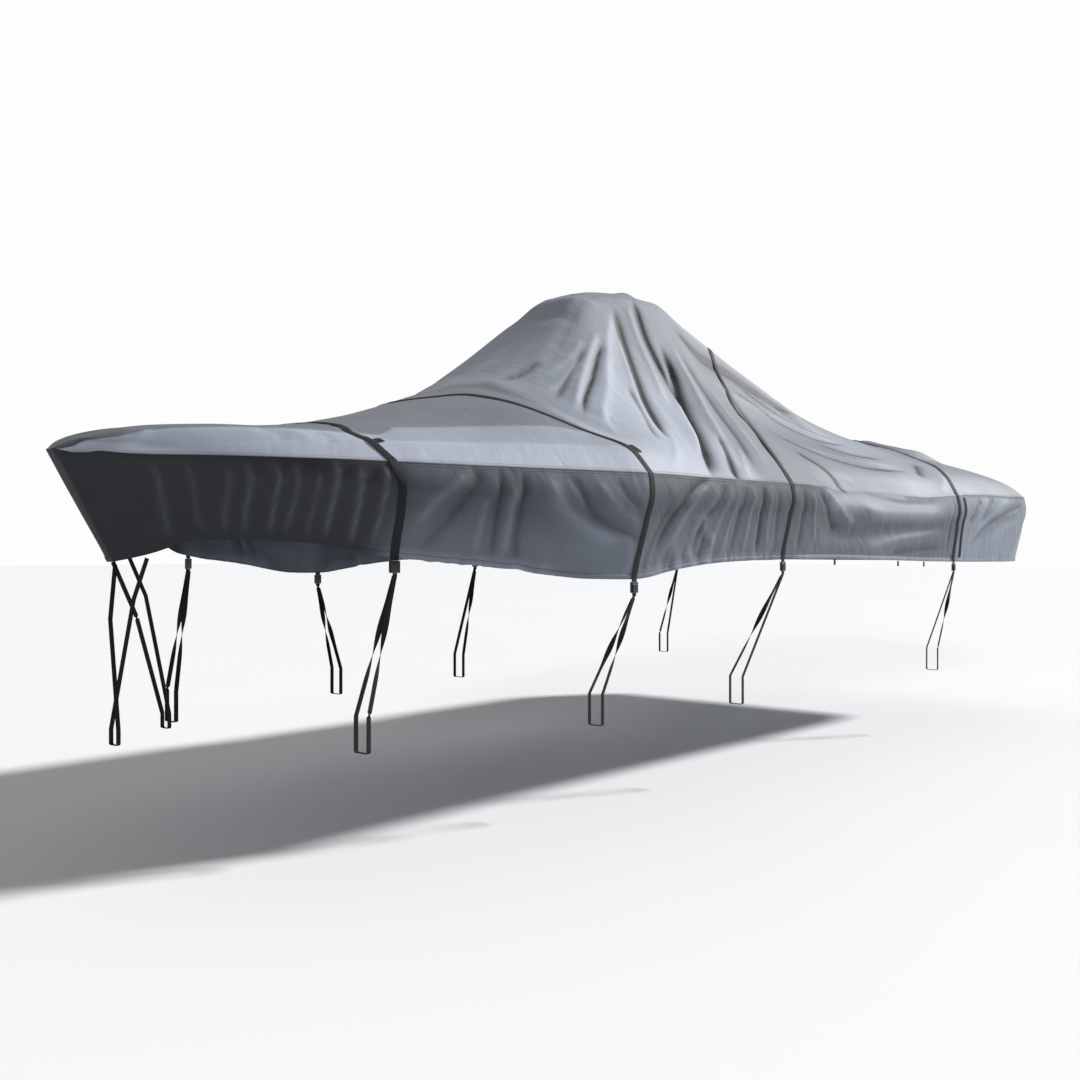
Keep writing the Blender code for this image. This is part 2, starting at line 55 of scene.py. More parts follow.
BODY = "root"
WAVE_SCALE = 314.0  # a Wave Texture's bands are 0.314 / scale apart, so this over a pitch in millimetres is its scale


class Side(Enum):
    """The boat's two sides, with the sign of their direction."""

    PORT = -1
    STARBOARD = 1

    @property
    def label(self) -> str:
        """The word that the side has in a node's name."""
        return self.name.lower()


class Profile(Enum):
    """How a fold stands on the cloth, across its length."""

    SOFT = "soft"
    SHARP = "sharp"


# --- shared small tools ---------------------------------------------------------------------------------------------


def linear(code: str) -> tuple[float, float, float, float]:
    """Turn an sRGB hex colour to linear.

    Args:
        code: the colour, such as "#8090a0".

    Returns:
        The linear colour with an alpha of 1.
    """
    parts = [int(code[k : k + 2], 16) / 255 for k in (1, 3, 5)]
    return (*[((c + 0.055) / 1.055) ** 2.4 if c > 0.04045 else c / 12.92 for c in parts], 1.0)


def feed(tree: Tree, node: Node, inputs: dict) -> None:
    """Give a node's sockets what they take.

    Args:
        tree: the node's tree.
        node: the node.
        inputs: what each socket takes: a socket to link from, or a value.
    """
    for socket, value in inputs.items():
        if isinstance(value, Socket):
            tree.links.new(value, node.inputs[socket])
        else:
            node.inputs[socket].default_value = value


def add_node(tree: Tree, kind: str, inputs: dict | None = None, **settings: object) -> Node:
    """Add one node with its settings, its values and its links.

    Args:
        tree: the node tree that it goes in.
        kind: the rest of the node's type name, after "ShaderNode".
        inputs: what each socket takes: a socket to link from, or a value.
        settings: the node's own properties.

    Returns:
        The new node.
    """
    node = tree.nodes.new("ShaderNode" + kind)
    for name, value in settings.items():
        setattr(node, name, value)
    feed(tree, node, inputs or {})
    return node


def start_material(name: str) -> tuple[Material, Tree]:
    """Start a finish.

    Args:
        name: the finish's name.

    Returns:
        The material and its node tree, with its shader in it.
    """
    material = bpy.data.materials.new(name)
    material.use_nodes = True
    return material, material.node_tree


def unit(vectors: np.ndarray) -> np.ndarray:
    """Bring vectors to a length of 1."""
    return vectors / np.linalg.norm(vectors, axis=-1, keepdims=True)


def add_mesh(mesh: bpy.types.Mesh, crease: float) -> Object:
    """Put a mesh in the scene as an object of its name, smooth except at its sharp edges.

    Args:
        mesh: the mesh.
        crease: the angle in degrees above which an edge stays sharp.

    Returns:
        The object.
    """
    made = bpy.data.objects.new(mesh.name, mesh)
    bpy.context.scene.collection.objects.link(made)
    deselect_all()
    made.select_set(True)
    bpy.context.view_layer.objects.active = made
    bpy.ops.object.shade_smooth_by_angle(angle=math.radians(crease))
    return made


def add_uv(mesh: bpy.types.Mesh, name: str, flat: np.ndarray) -> None:
    """Give a mesh a UV map.

    Args:
        mesh: the mesh.
        name: the map's name.
        flat: the place of each vertex on it.
    """
    corners = np.empty(len(mesh.loops), np.int32)
    mesh.loops.foreach_get("vertex_index", corners)
    mesh.uv_layers.new(name=name).data.foreach_set("uv", flat[corners].ravel().astype(np.float32))


def deselect_all() -> None:
    """Leave nothing selected, so that an operator acts on the new piece alone."""
    bpy.ops.object.select_all(action="DESELECT")


def smooth(knots: np.ndarray, values: np.ndarray, at: np.ndarray) -> np.ndarray:
    """Read a monotone cubic through rows of values.

    Args:
        knots: where the rows stand, shape (K,).
        values: the rows, shape (K, N, D), or (K, 1, D) where every place reads the same rows.
        at: the N places to read.

    Returns:
        The values there, shape (N, D).
    """
    steps = np.diff(knots)[:, None, None]
    slopes = np.diff(values, axis=0) / steps
    before, after = slopes[:-1], slopes[1:]
    same_way = before * after > 0
    heavy = 2 * steps[1:] + steps[:-1]
    light = steps[1:] + 2 * steps[:-1]
    share = heavy / np.where(same_way, before, 1.0) + light / np.where(same_way, after, 1.0)
    inner = np.where(same_way, (heavy + light) / np.where(same_way, share, 1.0), 0.0)
    tangents = np.concatenate([slopes[:1], inner, slopes[-1:]])
    cell = np.clip(np.searchsorted(knots, at, side="right") - 1, 0, len(knots) - 2)
    row = np.arange(len(at)) if values.shape[1] > 1 else np.zeros(len(at), int)
    width = steps[cell, 0]
    part = (at - knots[cell])[:, None] / width
    low, high = values[cell, row], values[cell + 1, row]
    rise = 3 * part**2 - 2 * part**3
    return (
        (1 - rise) * low
        + rise * high
        + (part**3 - 2 * part**2 + part) * width * tangents[cell, row]
        + (part**3 - part**2) * width * tangents[cell + 1, row]
    )


def ease(value: np.ndarray, low: float, high: float) -> np.ndarray:
    """Rise smoothly from 0 where value is low to 1 where it is high."""
    part = np.clip((value - low) / (high - low), 0.0, 1.0)
    return part * part * (3 - 2 * part)


def window(value: np.ndarray, low: float, high: float, edge: float) -> np.ndarray:
    """Be 1 between low and high, and fall to 0 over the edge outside them."""
    return ease(value, low - edge, low) * (1 - ease(value, high, high + edge))


def wander(x: np.ndarray, y: np.ndarray, seed: float) -> np.ndarray:
    """Make smooth value noise from -1 to 1, the same in every run.

    Args:
        x: first coordinate; the noise changes about once a unit.
        y: second coordinate.
        seed: picks one of many such noises.

    Returns:
        The noise at each place.
    """
    x_low, y_low = np.floor(x), np.floor(y)
    x_part, y_part = x - x_low, y - y_low
    x_part = x_part * x_part * (3 - 2 * x_part)
    y_part = y_part * y_part * (3 - 2 * y_part)

    def corner(dx: int, dy: int) -> np.ndarray:
        """The random value at one lattice corner."""
        mixed = np.sin((x_low + dx) * 127.1 + (y_low + dy) * 311.7 + seed * 74.7) * 43758.5453
        return 2 * (mixed - np.floor(mixed)) - 1

    low = corner(0, 0) * (1 - x_part) + corner(1, 0) * x_part
    high = corner(0, 1) * (1 - x_part) + corner(1, 1) * x_part
    return low * (1 - y_part) + high * y_part


def seat(piece: Object, node: str) -> None:
    """Ride the piece on the cover's body in place of its CAD node.

    Args:
        piece: the piece.
        node: the CAD node that it stands for.
    """
    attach(piece, BODY)
    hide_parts(node)


# --- finishes -------------------------------------------------------------------------------------------------------


@dataclass(frozen=True)
class MarineCloth:
    """Solution-dyed polyester with a thin urethane coat: a close plain weave, matt with a low satin sheen.

    Its light and shade are painted into its colour: the tone runs from its shaded colour to its lit colour by an
    attribute of painted light.
    """

    name: str
    # the colours at full painted shade and at full painted light, between which the cloth's tone runs
    deep: str
    lit_colour: str
    crumple_mm: float
    crumple_run: tuple[float, float, float]
    thread_mm: float = 3.0  # real threads are 0.5 mm apart: drawn coarser, so that the weave shows
    stitch_mm: float = 9.0  # real stitches are 4 mm long: drawn coarser, so that the rows show
    stitch_share: float = 0.72
    hem_width: float = 0.026

    def material(self) -> Material:
        """Make the cloth's material, with its weave, crumples, seams and stitches.

        Returns:
            The material.
        """
        material, tree = start_material(self.name)
        where = add_node(tree, "UVMap", uv_map="cloth").outputs["UV"]
        place = add_node(tree, "TexCoord").outputs["Object"]
        patchy = add_node(tree, "TexNoise", {"Vector": place, "Scale": 2.5, "Detail": 3.0}).outputs["Fac"]
        patches = {"Value": patchy, "To Min": 0.56, "To Max": 0.68}
        # woven polyester under a urethane coat: broad, low highlights, and a soft sheen at a grazing angle
        feed(tree, tree.nodes["Principled BSDF"], {
            "IOR": 1.46,
            "Specular IOR Level": 0.42,
            "Sheen Weight": 0.10,
            "Sheen Roughness": 0.45,
            "Base Color": self._colour(tree, where, place),
            "Roughness": add_node(tree, "MapRange", patches).outputs["Result"],
            "Normal": self._relief(tree, where),
        })
        return material

    def _band(self, tree: Tree, distance: Socket, middle: float, half: float) -> Socket:
        """Make a line of the cloth at one distance from an edge.

        Args:
            tree: the material's tree.
            distance: how far the cloth is from the edge, in metres.
            middle: the distance at which the line lies.
            half: half its width.

        Returns:
            1 on the line and 0 off it.
        """
        off = add_node(tree, "Math", {0: distance, 1: middle}, operation="SUBTRACT").outputs[0]
        size = add_node(tree, "Math", {0: off}, operation="ABSOLUTE").outputs[0]
        fall = {"Value": size, "From Min": 0.5 * half, "From Max": half, "To Min": 1.0, "To Max": 0.0}
        return add_node(tree, "MapRange", fall).outputs["Result"]

    def _stitches(self, tree: Tree) -> Socket:
        """Make the rows of stitches along the seams and over the hem's casing.

        Args:
            tree: the material's tree.

        Returns:
            1 on a stitch and 0 off it.
        """
        edge, hem, run = [
            add_node(tree, "Attribute", attribute_name=name).outputs["Fac"] for name in ("edge", "hem", "run")
        ]
        first, second = [self._band(tree, edge, middle, 0.0022) for middle in (0.007, 0.017)]
        casing = self._band(tree, hem, self.hem_width, 0.0025)
        seam = add_node(tree, "Math", {0: first, 1: second}, operation="ADD").outputs[0]
        rows = add_node(tree, "Math", {0: seam, 1: casing}, operation="ADD", use_clamp=True).outputs[0]
        count = add_node(tree, "Math", {0: run, 1: 1000 / self.stitch_mm}, operation="MULTIPLY").outputs[0]
        part = add_node(tree, "Math", {0: count}, operation="FRACT").outputs[0]
        thread = add_node(tree, "Math", {0: part, 1: self.stitch_share}, operation="LESS_THAN").outputs[0]
        return add_node(tree, "Math", {0: rows, 1: thread}, operation="MULTIPLY").outputs[0]

    def _colour(self, tree: Tree, where: Socket, place: Socket) -> Socket:
        """Make the cloth's colour: painted light and shade, mottled, and darker at its seams.

        Args:
            tree: the material's tree.
            where: the cloth's UV map.
            place: its object coordinates.

        Returns:
            The colour.
        """
        painted_light, edge = [add_node(tree, "Attribute", attribute_name=name).outputs["Fac"] for name in ("painted_light", "edge")]
        # painted light and shade: the tone runs from the shaded colour to the lit colour
        tones = {"Factor": painted_light, "A": linear(self.deep), "B": linear(self.lit_colour)}
        colour = add_node(tree, "Mix", tones, data_type="RGBA").outputs["Result"]
        cloud = add_node(tree, "TexNoise", {"Vector": place, "Scale": 1.3, "Detail": 4.0}).outputs["Fac"]
        fleck = add_node(tree, "TexNoise", {"Vector": where, "Scale": 90.0, "Detail": 3.0}).outputs["Fac"]
        for mark, start, end, low, high in (
            (cloud, 0.3, 0.7, 0.88, 1.10),
            (fleck, 0.3, 0.7, 0.94, 1.05),
            (self._band(tree, edge, 0.0, 0.006), 0.0, 1.0, 1.0, 0.35),
            (self._stitches(tree), 0.0, 1.0, 1.0, 0.62),
        ):
            spread = {"Value": mark, "From Min": start, "From Max": end, "To Min": low, "To Max": high}
            level = add_node(tree, "MapRange", spread).outputs["Result"]
            colour = add_node(tree, "VectorMath", {0: colour, "Scale": level}, operation="SCALE").outputs["Vector"]
        return colour

    def _relief(self, tree: Tree, where: Socket) -> Socket:
        """Make the cloth's relief: small crumples, the weave, and the stitches sunk in it.

        Args:
            tree: the material's tree.
            where: the cloth's UV map.

        Returns:
            The normal.
        """
        stretch = add_node(tree, "Mapping", {"Vector": where, "Scale": self.crumple_run}).outputs["Vector"]
        creased = {"Vector": stretch, "Scale": 11.0, "Detail": 3.0, "Roughness": 0.45, "Distortion": 0.6}
        crumple = add_node(tree, "TexNoise", creased).outputs["Fac"]
        relief = add_node(tree, "Bump", {"Height": crumple, "Distance": self.crumple_mm / 1000}).outputs["Normal"]
        pitch = {"Vector": where, "Scale": WAVE_SCALE / self.thread_mm}
        warp, weft = [add_node(tree, "TexWave", pitch, bands_direction=way).outputs["Fac"] for way in "XY"]
        weave = add_node(tree, "Math", {0: warp, 1: weft}, operation="MULTIPLY").outputs[0]
        woven = add_node(tree, "Bump", {"Height": weave, "Distance": 0.00025, "Normal": relief}).outputs["Normal"]
        sunk = {"Height": self._stitches(tree), "Distance": 0.0015, "Normal": woven}
        return add_node(tree, "Bump", sunk, invert=True).outputs["Normal"]


@dataclass(frozen=True)
class PolypropyleneWebbing:
    """Woven polypropylene webbing: near black, ribbed across, dull, with a slight grey bloom from the sun."""

    name: str = "polypropylene_webbing"
    colour: str = "#0c0d10"
    worn: str = "#1c1e22"
    rib_mm: float = 3.0  # real ribs are 1.5 mm apart: drawn coarser, so that they show
    strand_mm: float = 2.0

    def material(self) -> Material:
        """Make the webbing's material, its ribs across its length and a raised middle.

        Returns:
            The material.
        """
        material, tree = start_material(self.name)
        where = add_node(tree, "UVMap", uv_map="web").outputs["UV"]
        ribs, strands = [
            add_node(tree, "TexWave", {"Vector": where, "Scale": WAVE_SCALE / mm}, bands_direction=way).outputs["Fac"]
            for way, mm in (("X", self.rib_mm), ("Y", self.strand_mm))
        ]
        weave = add_node(tree, "Math", {0: ribs, 1: strands}, operation="MULTIPLY").outputs[0]
        bloom = add_node(tree, "TexNoise", {"Vector": where, "Scale": 14.0, "Detail": 3.0}).outputs["Fac"]
        level = add_node(tree, "Math", {0: weave, 1: bloom}, operation="MULTIPLY").outputs[0]
        tones = {"Factor": level, "A": linear(self.colour), "B": linear(self.worn)}
        # polypropylene yarn: waxy, so it has a low broad gloss
        feed(tree, tree.nodes["Principled BSDF"], {
            "IOR": 1.49,
            "Roughness": 0.62,
            "Sheen Weight": 0.02,
            "Specular IOR Level": 0.25,
            "Base Color": add_node(tree, "Mix", tones, data_type="RGBA").outputs["Result"],
            "Normal": add_node(tree, "Bump", {"Height": weave, "Distance": 0.0006}).outputs["Normal"],
        })
        return material


@dataclass(frozen=True)
class MouldedAcetal:
    """Injection-moulded acetal: black, fine spark-eroded grain, rubbed a little paler where it is handled."""

    name: str = "moulded_acetal"
    colour: str = "#1d1e20"
    rubbed: str = "#2e3033"
    grain_mm: float = 1.2  # real grain is 0.1 mm: drawn coarser, so that it shows

    def material(self) -> Material:
        """Make the buckles' material.

        Returns:
            The material.
        """
        material, tree = start_material(self.name)
        place = add_node(tree, "TexCoord").outputs["Object"]
        fine = {"Vector": place, "Scale": 1000 / self.grain_mm, "Detail": 2.0}
        grain = add_node(tree, "TexNoise", fine).outputs["Fac"]
        wear = add_node(tree, "TexNoise", {"Vector": place, "Scale": 60.0, "Detail": 3.0}).outputs["Fac"]
        tones = {"Factor": wear, "A": linear(self.colour), "B": linear(self.rubbed)}
        # acetal: a smooth low-lustre plastic
        feed(tree, tree.nodes["Principled BSDF"], {
            "IOR": 1.48,
            "Roughness": 0.42,
            "Base Color": add_node(tree, "Mix", tones, data_type="RGBA").outputs["Result"],
            "Normal": add_node(tree, "Bump", {"Height": grain, "Distance": 0.0001}).outputs["Normal"],
        })
        return material


@dataclass(frozen=True)
class PaleFloor:
    """Painted studio floor: pale, matt, with a faint unevenness."""

    name: str = "painted_studio_floor"
    colour: str = "#eeeff0"
    patch: str = "#eaebec"

    def material(self) -> Material:
        """Make the floor's material.

        Returns:
            The material.
        """
        material, tree = start_material(self.name)
        place = add_node(tree, "TexCoord").outputs["Object"]
        uneven = add_node(tree, "TexNoise", {"Vector": place, "Scale": 0.4, "Detail": 3.0}).outputs["Fac"]
        tones = {"Factor": uneven, "A": linear(self.colour), "B": linear(self.patch)}
        paint = add_node(tree, "Mix", tones, data_type="RGBA").outputs["Result"]
        # matt paint
        feed(tree, tree.nodes["Principled BSDF"], {"Roughness": 0.85, "Base Color": paint})
        return material


# --- the cover's shape ----------------------------------------------------------------------------------------------


@dataclass
class CoverShape:
    """The shape that the cover takes over the boat, as a table of sections from bow to stern.

    sweep is how far aft of its middle a section ends at the seam, and lean how far the ridge stands to starboard.
    """

    columns: tuple[str, ...] = (
        "aft", "sweep", "lean", "beam", "seam", "ridge", "spine", "hip_out", "hip",
        "waist_out", "waist", "rail_out", "rail", "hem_aft", "hem_out", "hem",
    )
    sections: tuple[tuple[float, ...], ...] = (
        (0.00, 0.06, 0.00, 0.060, 1.668, 1.680, 0.02, 0.030, 1.679, 0.045, 1.677, 0.055, 1.672, 0.26, 0.025, 1.232),
        (0.10, 0.10, 0.00, 0.250, 1.662, 1.722, 0.05, 0.110, 1.720, 0.180, 1.710, 0.230, 1.690, 0.36, 0.110, 1.262),
        (0.34, 0.07, 0.00, 0.480, 1.656, 1.795, 0.12, 0.220, 1.791, 0.340, 1.768, 0.430, 1.705, 0.52, 0.270, 1.325),
        (0.76, 0.02, 0.00, 0.765, 1.650, 1.822, 0.18, 0.380, 1.812, 0.580, 1.780, 0.690, 1.712, 0.84, 0.560, 1.310),
        (1.02, 0.00, 0.00, 0.880, 1.647, 1.850, 0.18, 0.430, 1.834, 0.680, 1.772, 0.790, 1.728, 1.04, 0.710, 1.262),
        (1.62, 0.00, 0.02, 1.060, 1.645, 1.962, 0.20, 0.420, 1.925, 0.800, 1.815, 0.970, 1.740, 1.60, 0.950, 1.200),
        (2.10, 0.00, 0.05, 1.190, 1.647, 2.095, 0.24, 0.460, 2.045, 0.900, 1.870, 1.100, 1.750, 2.06, 1.100, 1.145),
        (2.34, 0.00, 0.06, 1.247, 1.647, 2.190, 0.24, 0.460, 2.105, 0.900, 1.880, 1.150, 1.765, 2.30, 1.170, 1.140),
        (2.70, 0.00, 0.06, 1.250, 1.648, 2.405, 0.22, 0.380, 2.330, 0.820, 2.000, 1.130, 1.785, 2.68, 1.185, 1.185),
        (3.00, 0.00, 0.06, 1.250, 1.650, 2.635, 0.16, 0.280, 2.575, 0.700, 2.130, 1.100, 1.792, 2.98, 1.190, 1.210),
        (3.20, 0.00, 0.06, 1.250, 1.650, 2.785, 0.12, 0.200, 2.735, 0.650, 2.180, 1.090, 1.795, 3.18, 1.190, 1.217),
        (3.45, 0.00, 0.05, 1.250, 1.651, 2.855, 0.11, 0.170, 2.820, 0.600, 2.230, 1.080, 1.800, 3.43, 1.190, 1.222),
        (3.90, 0.00, 0.04, 1.250, 1.652, 2.895, 0.11, 0.170, 2.855, 0.600, 2.230, 1.080, 1.800, 3.88, 1.190, 1.225),
        (4.28, 0.00, 0.03, 1.250, 1.655, 2.790, 0.08, 0.150, 2.735, 0.580, 2.150, 1.070, 1.800, 4.26, 1.190, 1.225),
        (4.86, 0.00, 0.02, 1.250, 1.658, 2.600, 0.08, 0.150, 2.550, 0.580, 2.085, 1.060, 1.800, 4.85, 1.190, 1.215),
        (5.89, 0.00, 0.02, 1.250, 1.662, 2.332, 0.08, 0.160, 2.282, 0.600, 2.010, 1.060, 1.800, 5.89, 1.190, 1.195),
        (6.75, 0.00, 0.02, 1.250, 1.690, 2.182, 0.08, 0.180, 2.150, 0.650, 2.005, 1.070, 1.845, 6.75, 1.190, 1.185),
        (7.35, 0.00, 0.01, 1.250, 1.695, 2.140, 0.08, 0.180, 2.105, 0.650, 1.985, 1.060, 1.835, 7.33, 1.190, 1.182),
        (7.70, -0.06, 0.00, 1.220, 1.700, 2.090, 0.08, 0.180, 2.065, 0.620, 1.955, 1.050, 1.825, 7.62, 1.150, 1.182),
        (7.85, -0.14, 0.00, 1.090, 1.705, 2.040, 0.08, 0.180, 2.020, 0.600, 1.920, 0.950, 1.800, 7.76, 1.040, 1.182),
    )
    knots: tuple[float, ...] = (0.0, 0.12, 0.30, 0.62, 0.86, 1.0)
    spine_hip_share: float = 0.15
    rub_rail_down: float = 0.2
    rub_rail_out: float = 0.015
    crown: tuple[float, float] = (3.60, 0.045)
    cloth: float = 0.002
    core_up: float = 1.05
    core_ends: tuple[float, float] = (0.75, 7.25)
    length: float = 7.85
    origin: np.ndarray = field(init=False)

    def __post_init__(self) -> None:
        """Find the point of the tables' frame that is the part's origin, under the crown."""
        self.origin = np.zeros(3)
        top = self.point(np.array([self.crown[0]]), np.zeros(1), np.zeros(1))[0]
        self.origin = np.array([self.crown[0], self.crown[1], top[2] - self.cloth])

    def point(self, aft: np.ndarray, across: np.ndarray, down: np.ndarray) -> np.ndarray:
        """Find points of the cover, in the part's frame.

        Args:
            aft: each point's station.
            across: where it lies across the top, from -1 at the port seam to 1 at the starboard one.
            down: how far down the skirt under that place it lies, 0 on the top and 1 at the hem.

        Returns:
            The points, shape (N, 3).
        """
        table = np.array(self.sections)
        row = dict(zip(self.columns, smooth(table[:, 0], table[:, None], aft).T))
        share = np.abs(across)
        spine_up = (1 - self.spine_hip_share) * row["ridge"] + self.spine_hip_share * row["hip"]
        zero = np.zeros_like(aft)
        outs = (zero, row["spine"], row["hip_out"], row["waist_out"], row["rail_out"], row["beam"])
        ups = (row["ridge"], spine_up, row["hip"], row["waist"], row["rail"], row["seam"])
        outline = np.stack([np.array(outs), np.array(ups)], axis=2)
        out, up = smooth(np.array(self.knots), outline, share).T
        side = np.copysign(out, across) + row["lean"] * (1 - share)
        top = np.stack([aft + row["sweep"] * share**3, side, up], axis=1)
        hem = np.stack([row["hem_aft"], side / row["beam"] * row["hem_out"], row["hem"]], axis=1)
        fall = np.array([[[0.0]], [[0.0]], [[1.0]]])
        inward = smooth(np.array([0.0, self.rub_rail_down, 1.0]), fall, down)[:, 0]
        rail = np.where(share < 1, 0.0, np.copysign(self.rub_rail_out, across))
        bulge = np.sin(np.pi * np.minimum(1.0, down / (2 * self.rub_rail_down)))
        found = top + down[:, None] * (hem - top)
        found[:, 1] = top[:, 1] + (hem[:, 1] - top[:, 1]) * inward + rail * bulge
        return found - self.origin

    def on_side(self, side: Side, aft: np.ndarray, share: np.ndarray) -> np.ndarray:
        """Find points of one side by station and share, 0 on the ridge, 1 on the seam and 2 at the hem."""
        return self.point(aft, side.value * np.minimum(share, 1.0), np.maximum(share - 1.0, 0.0))

    def outward(self, points: np.ndarray) -> np.ndarray:
        """Point away from the cover's inside, changing smoothly from place to place.

        Args:
            points: places on the cloth, in the part's frame.

        Returns:
            The direction at each of them, along which its folds stand.
        """
        place = points + self.origin
        core = np.zeros_like(place)
        core[:, 0], core[:, 2] = np.clip(place[:, 0], *self.core_ends), self.core_up
        return unit(place - core)


# --- folds ----------------------------------------------------------------------------------------------------------


@dataclass(frozen=True)
class Fold:
    """One fold or crease: its way over one side, its half width in metres at both ends, and how far it stands out."""

    profile: Profile
    widths: tuple[float, float]
    rise: float
    route: tuple[tuple[float, float], ...]
    ends: tuple[float, float] = (0.15, 0.25)


def soft(wide: float, rise: float, *route: tuple[float, float], end: float | None = None) -> Fold:
    """Name a soft trough or ridge by its half width and rise in millimetres, and its way."""
    return Fold(Profile.SOFT, (wide / 1000, (end or wide) / 1000), rise / 1000, route)


def sharp(wide: float, rise: float, *route: tuple[float, float], end: float | None = None) -> Fold:
    """Name a crease with a narrow crest by its half width and rise in millimetres, and its way."""
    return Fold(Profile.SHARP, (wide / 1000, (end or wide) / 1000), rise / 1000, route)


